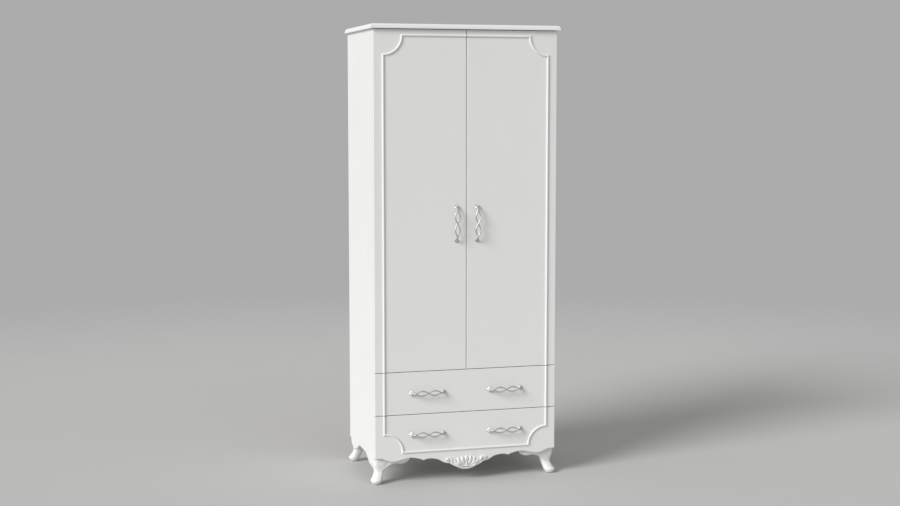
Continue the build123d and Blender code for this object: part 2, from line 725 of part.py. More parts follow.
def finished_front(board, box_z, handle_z):
    """A drawer front with the bottom's groove and the holes of two level handles."""
    board -= bottom_groove(BOTTOM_X, FRONT_BACK_Y - BOTTOM_TONGUE - BOTTOM_PLAY, FRONT_BACK_Y, box_z + BOTTOM_UP)
    for sign in (-1, 1):
        board = screw_holes(board, level_places(sign * DRAWER_HANDLE_X, handle_z))
    return board


def box_side(sign, box_z):
    """A drawer side with a groove for the bottom."""
    inner = sign * (BOX_X - BOX_BOARD)
    outer = sign * BOX_X
    board = slab(min(inner, outer), max(inner, outer), FRONT_BACK_Y, BOX_BACK_Y, box_z, box_z + BOX_H)
    return board - bottom_groove(BOTTOM_X + BOTTOM_PLAY, FRONT_BACK_Y, BOX_BACK_Y, box_z + BOTTOM_UP)


def box_back(box_z):
    """A drawer back that stands on the bottom."""
    half = BOX_X - BOX_BOARD
    z0 = box_z + BOTTOM_UP + HARDBOARD
    return slab(-half, half, BOX_BACK_Y - BOX_BOARD, BOX_BACK_Y, z0, box_z + BOX_H)


def box_bottom(box_z):
    """Hardboard bottom held in the front and the sides."""
    z0 = box_z + BOTTOM_UP
    return slab(-BOTTOM_X, BOTTOM_X, FRONT_BACK_Y - BOTTOM_TONGUE, BOX_BACK_Y, z0, z0 + HARDBOARD)


def runner_member(index, sign, box_z):
    """One folded steel channel of a runner, opening towards or away from the drawer."""
    start, end = RUNNER_SPAN[index]
    half = RUNNER_HALF[index]
    axis_z = box_z + RUNNER_RISE
    near = INNER_X - end
    far = INNER_X - start
    channel = slab(near, far, CASE_Y, CASE_Y + RUNNER_LONG, axis_z - half, axis_z + half)
    hollow_half = half - RUNNER_SHEET
    if index == 2:
        hollow = slab(near + RUNNER_SHEET, far, CASE_Y, CASE_Y + RUNNER_LONG,
                      axis_z - hollow_half, axis_z + hollow_half)
    else:
        hollow = slab(near, far - RUNNER_SHEET, CASE_Y, CASE_Y + RUNNER_LONG,
                      axis_z - hollow_half, axis_z + hollow_half)
    channel -= hollow
    return channel if sign > 0 else mirrored(channel)


def runner_pair(index, box_z):
    """The same runner member on both sides of a drawer."""
    return group([runner_member(index, sign, box_z) for sign in (-1, 1)])


def level_handle(x, z):
    """A drawer handle in its place."""
    return Pos(x, FRONT_Y, z) * Rot(Y=90) * bow_handle()


def apron_carving():
    """The glued ornament's body: a lobed plate with a raised oval on it."""
    with BuildSketch() as plate:
        with BuildLine():
            top = Spline(*CARVING_OUTLINE)
            under = Spline(*CARVING_UNDER)
            Line(under @ 1, top @ 0)
        make_face()
        mirror(about=Plane.YZ)
    body = extrude(upright(FRONT_Y) * plate.sketch, CARVING_T)
    half_long, half_high, middle_z = CARVING_FIELD
    field = Pos(0, middle_z) * Ellipse(half_long, half_high)
    return body + extrude(upright(FRONT_Y - CARVING_T) * field, CARVING_RISE)


# Everything in its place

def door_pieces():
    """Pieces of the right door and its mirror image on the left."""
    handle = Pos(DOOR_HANDLE_X, FRONT_Y, DOOR_HANDLE_Z) * bow_handle()
    screws = [handle_screw(x, z) for x, z in upright_places(DOOR_HANDLE_X, DOOR_HANDLE_Z)]
    right = {
        "door_panel": door_panel(),
        "door_moulding": door_bead(),
        "door_handle": handle,
        "door_handle_screws": group(screws),
        "door_bumpers": door_bumpers(),
        "hinge_cups": group([hinge_cup(z) for z in hinge_levels()]),
        "hinge_cup_pins": group([cup_pin(z) for z in hinge_levels()]),
        "hinge_links": group([hinge_link(z) for z in hinge_levels()]),
    }
    pieces = {}
    for name, shape in right.items():
        pieces[name + "_right"] = shape
        pieces[name + "_left"] = mirrored(shape)
    return pieces


def drawer_pieces(name, front, bead, box_z, handle_z):
    """Pieces of one drawer."""
    right_handle = level_handle(DRAWER_HANDLE_X, handle_z)
    screws = []
    for sign in (-1, 1):
        screws += [handle_screw(x, z) for x, z in level_places(sign * DRAWER_HANDLE_X, handle_z)]
    pieces = {
        "drawer_front": front,
        "drawer_moulding": bead,
        "drawer_handles": group([right_handle, mirrored(right_handle)]),
        "drawer_handle_screws": group(screws),
        "drawer_side_left": box_side(-1, box_z),
        "drawer_side_right": box_side(1, box_z),
        "drawer_back": box_back(box_z),
        "drawer_bottom": box_bottom(box_z),
        "runner_drawer_members": runner_pair(2, box_z),
        "runner_middle_members": runner_pair(1, box_z),
    }
    return {f"{name}_{key}": shape for key, shape in pieces.items()}


def carcass_pieces():
    """Pieces that stay still."""
    shelf_z = DOOR_GAP_Z - PANEL / 2
    top_z = CASE_TOP - PANEL
    cams = [cam_lock(*place) for z in (FOOT_H, shelf_z, top_z) for place in cam_places(z)]
    plates = [hinge_plate(z) for z in hinge_levels()]
    arms = [hinge_arm(z) for z in hinge_levels()]
    pins = [arm_pin(z) for z in hinge_levels()]
    channels = [runner_pair(0, box_z) for box_z in (UPPER_BOX_Z, LOWER_BOX_Z)]
    pieces = {
        "side_panel_left": side_panel(-1),
        "side_panel_right": side_panel(1),
        "top_panel": fixed_board(top_z),
        "fixed_shelf": fixed_board(shelf_z),
        "bottom_panel": bottom_panel(),
        "back_panel": back_panel(),
        "cornice": cornice(),
        "hat_shelf": hat_shelf(),
        "shelf_pins": shelf_pins(),
        "hanging_rail": hanging_rail(),
        "rail_sockets": group([rail_socket(-1), rail_socket(1)]),
        "cam_locks": group(cams),
        "foot_bolts": group([foot_bolt(x, y) for x, y in foot_bolt_places()]),
        "foot_glides": group([glide(x, y) for x, y in glide_places()]),
        "hinge_plates": group(plates + [mirrored(plate) for plate in plates]),
        "hinge_arms": group(arms + [mirrored(arm) for arm in arms]),
        "hinge_arm_pins": group(pins + [mirrored(pin) for pin in pins]),
        "runner_cabinet_channels": group(channels),
    }
    for name, rear in (("front", False), ("rear", True)):
        foot = cabriole_foot(rear)
        pieces[f"foot_{name}_right"] = foot
        pieces[f"foot_{name}_left"] = mirrored(foot)
    return pieces


def main():
    """Builds every piece and writes it under its own name."""
    pieces = carcass_pieces()
    pieces.update(door_pieces())
    pieces.update(drawer_pieces("upper", upper_front(), upper_drawer_beads(), UPPER_BOX_Z, UPPER_HANDLE_Z))
    pieces.update(drawer_pieces("lower", lower_front(), lower_drawer_bead(), LOWER_BOX_Z, LOWER_HANDLE_Z))
    pieces["apron_carving"] = apron_carving()
    os.makedirs("parts", exist_ok=True)
    for name, shape in pieces.items():
        export_step(shape, f"parts/{name}.step")


if __name__ == "__main__":
    main()
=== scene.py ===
"""White two-door wardrobe: finishes, cabriole feet, twisted handles, carving and hinge screws."""
import json
import logging
import math
from dataclasses import dataclass, replace
from enum import Enum

import bmesh
import bpy
import numpy as np
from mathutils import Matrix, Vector


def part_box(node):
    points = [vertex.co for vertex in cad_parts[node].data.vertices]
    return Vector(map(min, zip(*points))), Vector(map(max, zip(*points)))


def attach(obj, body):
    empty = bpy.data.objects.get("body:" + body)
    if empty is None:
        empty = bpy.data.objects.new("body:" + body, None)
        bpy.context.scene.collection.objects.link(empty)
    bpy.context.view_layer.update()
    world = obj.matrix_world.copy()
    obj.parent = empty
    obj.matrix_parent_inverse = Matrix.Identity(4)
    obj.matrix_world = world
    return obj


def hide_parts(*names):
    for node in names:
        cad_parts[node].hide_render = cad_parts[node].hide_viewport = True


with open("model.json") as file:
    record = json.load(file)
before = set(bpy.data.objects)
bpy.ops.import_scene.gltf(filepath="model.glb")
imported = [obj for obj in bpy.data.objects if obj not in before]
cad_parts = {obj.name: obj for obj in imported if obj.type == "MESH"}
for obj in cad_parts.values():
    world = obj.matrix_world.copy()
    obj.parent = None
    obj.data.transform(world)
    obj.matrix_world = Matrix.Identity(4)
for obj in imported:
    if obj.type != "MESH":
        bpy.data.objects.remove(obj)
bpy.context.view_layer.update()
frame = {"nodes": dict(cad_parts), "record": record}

MM = 0.001
CARVING_SINK = 0.3     # how far carved pieces sit below the face that carries them, in millimetres
ACROSS = np.array([0.0, 1.0, 0.0])     # second axis of the frames that handles and carving are set out in
OUT = np.array([0.0, 0.0, 1.0])        # their third axis, away from the front face
SAME_POINT = 1e-7      # points closer than this are merged, in metres
NO_LENGTH = 1e-8       # edges shorter than this are dissolved, in metres
Array = np.ndarray
Colour = tuple[float, float, float]
Point = tuple[float, float]
Socket = bpy.types.NodeSocket
Material = bpy.types.Material
Node = bpy.types.Node
Tree = bpy.types.NodeTree
log = logging.getLogger("wardrobe")


class Slot(str, Enum):
    """Material slots of the wardrobe's record."""

    BOARD = "white_board"
    LACQUER = "white_lacquer"
    BOX = "box_board"
    HARDBOARD = "hardboard"
    HANDLE = "handle_metal"
    STEEL = "steel"
    CHROME = "rail_chrome"
    FELT = "felt"
    BUMPER = "bumper_plastic"


class Side(Enum):
    """The two mirror halves of the wardrobe."""

    LEFT = -1
    RIGHT = 1

    @property
    def word(self) -> str:
        """The side as it is written in piece names."""
        return self.name.lower()


def rgba(colour: Colour) -> tuple[float, float, float, float]:
    """A colour with full opacity."""
    return (*colour, 1.0)


class NodeTree:
    """A short way to place and join shader nodes in one tree."""

    def __init__(self, tree: Tree) -> None:
        """Args: tree: the material, world or group tree to work in."""
        self.tree = tree

    def add(self, kind: str, **values: object) -> Node:
        """Places a node.

        Args:
            kind: the node's Blender type name.
            values: properties of the node, set by name.

        Returns:
            The new node.
        """
        node = self.tree.nodes.new(kind)
        for name, value in values.items():
            setattr(node, name, value)
        return node

    def join(self, source: Socket, target: Socket) -> None:
        """Links an output to an input."""
        self.tree.links.new(source, target)

    def math(self, operation: str, first: object, second: object = None) -> Socket:
        """Places a Math node.

        Args:
            operation: the node's operation.
            first: a socket or a number.
            second: a socket or a number, where the operation has two.

        Returns:
            The node's value output.
        """
        node = self.add("ShaderNodeMath", operation=operation)
        for index, item in enumerate((first, second)):
            if isinstance(item, Socket):
                self.join(item, node.inputs[index])
            elif item is not None:
                node.inputs[index].default_value = item
        return node.outputs[0]

    def noise(self, vector: Socket, scale: object, detail: float = 3.0,
              roughness: float = 0.5) -> Socket:
        """Places a Noise texture.

        Args:
            vector: where the pattern is read.
            scale: a number or a socket, in patterns per metre.
            detail: octaves of the noise.
            roughness: how strong the finer octaves are.

        Returns:
            The noise value, about 0.5 in the middle.
        """
        node = self.add("ShaderNodeTexNoise")
        node.inputs["Detail"].default_value = detail
        node.inputs["Roughness"].default_value = roughness
        self.join(vector, node.inputs["Vector"])
        if isinstance(scale, Socket):
            self.join(scale, node.inputs["Scale"])
        else:
            node.inputs["Scale"].default_value = scale
        return node.outputs["Fac"]

    def blend(self, factor: Socket, first: object, second: object) -> Socket:
        """Mixes two colours.

        Args:
            factor: 0 gives the first colour and 1 the second.
            first: a socket or a colour.
            second: a socket or a colour.

        Returns:
            The mixed colour.
        """
        node = self.add("ShaderNodeMix", data_type="RGBA")
        self.join(factor, node.inputs["Factor"])
        for name, item in (("A", first), ("B", second)):
            socket = [s for s in node.inputs if s.name == name and s.type == "RGBA"][0]
            if isinstance(item, Socket):
                self.join(item, socket)
            else:
                socket.default_value = rgba(item)
        return [s for s in node.outputs if s.type == "RGBA"][0]


@dataclass(frozen=True)
class SurfaceEffects:
    """The node groups that several finishes share."""

    tint: Tree
    polish: Tree
    grain: Tree

    @staticmethod
    def group(name: str, inputs: dict[str, str], outputs: dict[str, str]) -> tuple[NodeTree, Node, Node]:
        """Starts a node group.

        Args:
            name: the group's name.
            inputs: socket names and types.
            outputs: socket names and types.

        Returns:
            The tree helper, and the group's input and output nodes.
        """
        tree = bpy.data.node_groups.new(name, "ShaderNodeTree")
        for socket, kind in inputs.items():
            tree.interface.new_socket(socket, in_out="INPUT", socket_type=kind)
        for socket, kind in outputs.items():
            tree.interface.new_socket(socket, in_out="OUTPUT", socket_type=kind)
        nodes = NodeTree(tree)
        return nodes, nodes.add("NodeGroupInput"), nodes.add("NodeGroupOutput")

    @classmethod
    def build(cls) -> "SurfaceEffects":
        """Builds the three groups: clouded tint with settled dust, uneven polish, and fine grain."""
        return cls(cls.clouded_tint(), cls.uneven_polish(), cls.fine_grain())

    @classmethod
    def clouded_tint(cls) -> Tree:
        """Colour that drifts between two tones in soft clouds, with a trace of dust on upward faces."""
        colours = dict.fromkeys(("Light", "Shade", "Dust"), "NodeSocketColor")
        amounts = dict.fromkeys(("Cloud Scale", "Dust Amount"), "NodeSocketFloat")
        sockets = {"Vector": "NodeSocketVector", **colours, **amounts}
        nodes, given, made = cls.group("clouded_tint", sockets, {"Color": "NodeSocketColor"})
        cloud = nodes.noise(given.outputs["Vector"], given.outputs["Cloud Scale"], 4.0, 0.55)
        tone = nodes.blend(cloud, given.outputs["Light"], given.outputs["Shade"])
        facing = nodes.add("ShaderNodeSeparateXYZ")
        geometry = nodes.add("ShaderNodeNewGeometry")
        nodes.join(geometry.outputs["Normal"], facing.inputs[0])
        upward = nodes.math("POWER", nodes.math("MAXIMUM", facing.outputs["Z"], 0.0), 6.0)
        specks = nodes.math("MULTIPLY", nodes.noise(given.outputs["Vector"], 60.0, 6.0, 0.7), upward)
        amount = nodes.math("MULTIPLY", specks, given.outputs["Dust Amount"])
        nodes.join(nodes.blend(amount, tone, given.outputs["Dust"]), made.inputs["Color"])
        return nodes.tree

    @classmethod
    def uneven_polish(cls) -> Tree:
        """Roughness that wanders between two values, as on a surface wiped by hand."""
        sockets = {"Vector": "NodeSocketVector", **dict.fromkeys(("Low", "High", "Scale"), "NodeSocketFloat")}
        nodes, given, made = cls.group("uneven_polish", sockets, {"Roughness": "NodeSocketFloat"})
        cloud = nodes.noise(given.outputs["Vector"], given.outputs["Scale"], 5.0, 0.6)
        spread = nodes.add("ShaderNodeMapRange")
        spread.inputs["From Min"].default_value = 0.3
        spread.inputs["From Max"].default_value = 0.7
        nodes.join(cloud, spread.inputs["Value"])
        nodes.join(given.outputs["Low"], spread.inputs["To Min"])
        nodes.join(given.outputs["High"], spread.inputs["To Max"])
        nodes.join(spread.outputs["Result"], made.inputs["Roughness"])
        return nodes.tree

    @classmethod
    def fine_grain(cls) -> Tree:
        """Height of a sprayed or pressed surface: a fine pebble on a slower waviness."""
        sockets = {"Vector": "NodeSocketVector", "Scale": "NodeSocketFloat"}
        nodes, given, made = cls.group("fine_grain", sockets, {"Height": "NodeSocketFloat"})
        pebble = nodes.noise(given.outputs["Vector"], given.outputs["Scale"], 2.0, 0.5)
        slow_scale = nodes.math("MULTIPLY", given.outputs["Scale"], 0.12)
        wave = nodes.noise(given.outputs["Vector"], slow_scale, 1.0, 0.4)
        nodes.join(nodes.math("ADD", pebble, wave), made.inputs["Height"])
        return nodes.tree


@dataclass(frozen=True)
class Finish:
    """One surface finish, made as a procedural material.

    Colours are linear. Grain height is in metres, grain scale in patterns per metre.
    """

    name: str
    light: Colour
    shade: Colour
    dust: Colour = (0.55, 0.53, 0.50)
    cloud_scale: float = 2.5
    dust_amount: float = 0.0
    polish: tuple[float, float] = (0.34, 0.42)
    polish_scale: float = 9.0
    grain_scale: float = 900.0
    grain_height: float = 0.00003
    metallic: float = 0.0
    specular: float = 0.5
    sheen: float = 0.0
    stretch: tuple[float, float, float] = (1.0, 1.0, 1.0)

    def material(self, effects: SurfaceEffects) -> Material:
        """Builds the material.

        Args:
            effects: the shared node groups.

        Returns:
            A material with clouded colour, uneven polish and fine grain.
        """
        made = bpy.data.materials.new(self.name)
        made.use_nodes = True
        nodes = NodeTree(made.node_tree)
        shader = made.node_tree.nodes["Principled BSDF"]
        shader.inputs["Metallic"].default_value = self.metallic
        shader.inputs["Specular IOR Level"].default_value = self.specular
        shader.inputs["Sheen Weight"].default_value = self.sheen
        place = nodes.add("ShaderNodeTexCoord")
        lay = nodes.add("ShaderNodeMapping")
        lay.inputs["Scale"].default_value = self.stretch
        nodes.join(place.outputs["Object"], lay.inputs["Vector"])
        colour = self.colour(nodes, effects, lay.outputs["Vector"], place)
        nodes.join(colour, shader.inputs["Base Color"])
        polish = self.use(nodes, effects.polish, lay.outputs["Vector"], Low=self.polish[0],
                          High=self.polish[1], Scale=self.polish_scale)
        nodes.join(polish.outputs["Roughness"], shader.inputs["Roughness"])
        grain = self.use(nodes, effects.grain, lay.outputs["Vector"], Scale=self.grain_scale)
        bump = nodes.add("ShaderNodeBump")
        bump.inputs["Distance"].default_value = self.grain_height
        nodes.join(grain.outputs["Height"], bump.inputs["Height"])
        nodes.join(bump.outputs["Normal"], shader.inputs["Normal"])
        return made

    def colour(self, nodes: NodeTree, effects: SurfaceEffects, vector: Socket, place: Node) -> Socket:
        """The finish's colour over the surface.

        Args:
            nodes: the material's tree.
            effects: the shared node groups.
            vector: where the patterns are read.
            place: the Texture Coordinate node, for finishes that differ from face to face.

        Returns:
            A colour socket.
        """
        amounts = {"Cloud Scale": self.cloud_scale, "Dust Amount": self.dust_amount}
        tint = self.use(nodes, effects.tint, vector, Light=rgba(self.light), Shade=rgba(self.shade),
                        Dust=rgba(self.dust), **amounts)
        return tint.outputs["Color"]

    @staticmethod
    def use(nodes: NodeTree, group: Tree, vector: Socket, **values: object) -> Node:
        """Places a shared group with its own values.

        Args:
            nodes: the material's tree.
            group: the shared node group.
            vector: where its patterns are read.
            values: its other inputs, by name.

        Returns:
            The group node.
        """
        node = nodes.add("ShaderNodeGroup")
        node.node_tree = group
        nodes.join(vector, node.inputs["Vector"])
        for name, value in values.items():
            node.inputs[name].default_value = value
        return node


@dataclass(frozen=True)
class CoatedHardboard(Finish):
    """Hardboard with a white coat on its inner face and bare brown fibre on the face to the back or floor."""

    fibre: Colour = (0.30, 0.19, 0.105)
    fibre_dark: Colour = (0.19, 0.115, 0.06)
    bare_axis: str = "Y"
    bare_sign: float = 1.0

    def colour(self, nodes: NodeTree, effects: SurfaceEffects, vector: Socket, place: Node) -> Socket:
        """White coat, or pressed fibre where the board's own normal points to its bare side.

        Args:
            nodes: the material's tree.
            effects: the shared node groups.
            vector: where the patterns are read.
            place: the Texture Coordinate node, whose normal tells the two faces apart.

        Returns:
            A colour socket.
        """
        coat = Finish.colour(self, nodes, effects, vector, place)
        threads = nodes.noise(vector, 420.0, 8.0, 0.75)
        fibre = nodes.blend(threads, self.fibre, self.fibre_dark)
        facing = nodes.add("ShaderNodeSeparateXYZ")
        nodes.join(place.outputs["Normal"], facing.inputs[0])
        turned = nodes.math("MULTIPLY", facing.outputs[self.bare_axis], self.bare_sign)
        return nodes.blend(nodes.math("GREATER_THAN", turned, 0.5), coat, fibre)


WHITE_LIGHT = (0.84, 0.84, 0.835)
WHITE_SHADE = (0.81, 0.81, 0.80)
FINISHES: dict[Slot, Finish] = {
    Slot.BOARD: Finish("satin_film", WHITE_LIGHT, WHITE_SHADE, polish=(0.40, 0.50), specular=0.4,
                       dust_amount=0.10),
    Slot.LACQUER: Finish("sprayed_lacquer", WHITE_LIGHT, WHITE_SHADE, polish=(0.45, 0.55), specular=0.3,
                         dust_amount=0.10, grain_scale=520.0, grain_height=0.00004),
    Slot.BOX: Finish("pearl_melamine", (0.80, 0.80, 0.785), (0.77, 0.77, 0.755), polish=(0.42, 0.52),
                     grain_scale=1500.0, grain_height=0.00008),
    Slot.HARDBOARD: CoatedHardboard("coated_hardboard", (0.78, 0.78, 0.77), (0.74, 0.74, 0.73),
                                    polish=(0.5, 0.65), grain_scale=1100.0, grain_height=0.0001),
    Slot.HANDLE: Finish("champagne_casting", (0.71, 0.685, 0.65), (0.58, 0.555, 0.52), cloud_scale=90.0,
                        polish=(0.42, 0.54), polish_scale=120.0, grain_scale=1800.0, grain_height=0.00003,
                        metallic=1.0),
    Slot.STEEL: Finish("zinc_plate", (0.66, 0.66, 0.67), (0.52, 0.53, 0.55), cloud_scale=60.0,
                       polish=(0.26, 0.42), polish_scale=70.0, grain_scale=1500.0, grain_height=0.00002,
                       metallic=1.0, stretch=(1.0, 0.15, 1.0)),
    Slot.CHROME: Finish("bright_chrome", (0.80, 0.80, 0.82), (0.76, 0.76, 0.78), cloud_scale=30.0,
                        polish=(0.06, 0.16), polish_scale=200.0, grain_scale=2500.0, grain_height=0.000005,
                        metallic=1.0, stretch=(0.05, 1.0, 1.0)),
    Slot.FELT: Finish("pressed_felt", (0.30, 0.28, 0.26), (0.17, 0.16, 0.15), cloud_scale=700.0,
                      polish=(0.85, 0.97), grain_scale=1600.0, grain_height=0.0006, sheen=0.4),
    Slot.BUMPER: Finish("soft_bumper", (0.72, 0.72, 0.70), (0.62, 0.62, 0.60), cloud_scale=300.0,
                        polish=(0.30, 0.45), grain_scale=900.0, grain_height=0.00005),
}
DRAWER_BOTTOM = replace(FINISHES[Slot.HARDBOARD], name="coated_drawer_bottom", bare_axis="Z", bare_sign=-1.0)


class Shell:
    """A mesh that grows by whole surfaces, each a grid of points worked out with arrays."""

    def __init__(self) -> None:
        """Starts with no points."""
        self.points: list[Array] = []
        self.faces: list[tuple[int, ...]] = []
        self.count = 0

    def add(self, grid: Array, far_cap: bool = True) -> None:
        """Adds a tube: each row of points closes on itself, and a face closes the first row.

        Args:
            grid: points as rows by columns by 3, in metres.
            far_cap: whether a face closes the last row too.
        """
        rows, columns = grid.shape[:2]
        index = np.arange(rows * columns).reshape(rows, columns) + self.count
        right = np.roll(index, -1, axis=1)
        quads = np.stack([index[:-1], right[:-1], right[1:], index[1:]], axis=-1).reshape(-1, 4)
        self.faces += [tuple(quad) for quad in quads.tolist()]
        self.faces.append(tuple(index[0].tolist()))
        if far_cap:
            self.faces.append(tuple(index[-1][::-1].tolist()))
        self.points.append(grid.reshape(-1, 3))
        self.count += rows * columns

    def mirrored(self) -> "Shell":
        """A copy on the other side of the plane x = 0."""
        other = Shell()
        other.points = [points * np.array([-1.0, 1.0, 1.0]) for points in self.points]
        other.faces = [face[::-1] for face in self.faces]
        other.count = self.count
        return other

    def take(self, other: "Shell") -> None:
        """Adds all of another shell's surfaces."""
        self.faces += [tuple(corner + self.count for corner in face) for face in other.faces]
        self.points += other.points
        self.count += other.count

    def piece(self, name: str, material: Material, sharp_deg: float) -> bpy.types.Object:
        """Makes the object, with faces turned outwards and shaded smooth up to an angle.

        Args:
            name: the piece's name.
            material: its finish.
            sharp_deg: edges that turn more than this stay crisp.

        Returns:
            The new object, at the origin.
        """
        mesh = bpy.data.meshes.new(name)
        mesh.from_pydata(np.concatenate(self.points).tolist(), [], self.faces)
        work = bmesh.new()
        work.from_mesh(mesh)
        bmesh.ops.remove_doubles(work, verts=work.verts, dist=SAME_POINT)
        bmesh.ops.dissolve_degenerate(work, edges=work.edges, dist=NO_LENGTH)
        bmesh.ops.recalc_face_normals(work, faces=work.faces)
        work.to_mesh(mesh)
        work.free()
        mesh.shade_smooth()
        mesh.set_sharp_from_angle(angle=math.radians(sharp_deg))
        mesh.materials.append(material)
        made = bpy.data.objects.new(name, mesh)
        bpy.context.scene.collection.objects.link(made)
        return made

    def fit(self, name: str, material: Material, sharp_deg: float, body: str, slot: Slot,
            node: str | None = None) -> None:
        """Makes the piece and gives it its body.

        Args:
            name: the piece's name.
            material: its finish.
            sharp_deg: edges that turn more than this stay crisp.
            body: the body that it rides on.
            slot: its material slot; not used.
            node: the plainer node that it stands for, if any.
        """
        made = self.piece(name, material, sharp_deg)
        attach(made, body)
        if node is not None:
            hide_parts(node)
        log.info("%s: %d faces on %s", name, len(made.data.polygons), body)


def turns(count: int) -> Array:
    """Angles of a closed ring, evenly spaced."""
    return np.linspace(0.0, 2.0 * np.pi, count, endpoint=False)


def unit(vectors: Array) -> Array:
    """Vectors of length one along the last axis."""
    return vectors / np.maximum(np.linalg.norm(vectors, axis=-1, keepdims=True), 1e-12)


def bar_along(path: Array, across: Array, wide: Array, thick: Array, ring: int = 20) -> Array:
    """An oval bar along a path: at each point an ellipse in the plane across the path.

    The ellipse is point + wide * cos(a) * side + thick * sin(a) * up, where side is the given direction with
    its part along the path taken out, and up is square to both.

    Args:
        path: points, n by 3.
        across: a rough direction of the ellipse's wide axis, 3 or n by 3.
        wide: half widths, n.
        thick: half thicknesses, n.
        ring: points in each ellipse.

    Returns:
        Grid of points, n by ring by 3.
    """
    ahead = unit(np.gradient(path, axis=0))
    side = np.broadcast_to(across, path.shape)
    side = unit(side - (side * ahead).sum(-1, keepdims=True) * ahead)
    up = np.cross(ahead, side)
    angle = turns(ring)
    round_side = (np.cos(angle)[None, :, None] * side[:, None, :]) * wide[:, None, None]
    round_up = (np.sin(angle)[None, :, None] * up[:, None, :]) * thick[:, None, None]
    return path[:, None, :] + round_side + round_up


def bezier(corners: list[tuple[float, ...]], steps: int) -> Array:
    """A cubic curve through its first and last corner, drawn by the two between.

    Args:
        corners: four points.
        steps: points along the curve.

    Returns:
        Points, steps by the corners' dimension.
    """
    a, b, c, d = (np.array(corner, float) for corner in corners)
    s = np.linspace(0.0, 1.0, steps)[:, None]
    return (1 - s) ** 3 * a + 3 * (1 - s) ** 2 * s * b + 3 * (1 - s) * s ** 2 * c + s ** 3 * d


def through(at: Array, knots: Array, values: Array) -> Array:
    """A smooth curve through given values: cubic pieces that share their slopes at the knots.

    Args:
        at: where the curve is read.
        knots: rising places of the values.
        values: the values at the knots.

    Returns:
        The curve's values.
    """
    slopes = np.gradient(values, knots)
    k = np.clip(np.searchsorted(knots, at) - 1, 0, len(knots) - 2)
    gap = knots[k + 1] - knots[k]
    s = (at - knots[k]) / gap
    start = (2 * s ** 3 - 3 * s ** 2 + 1) * values[k] + (s ** 3 - 2 * s ** 2 + s) * gap * slopes[k]
    return start + (3 * s ** 2 - 2 * s ** 3) * values[k + 1] + (s ** 3 - s ** 2) * gap * slopes[k + 1]


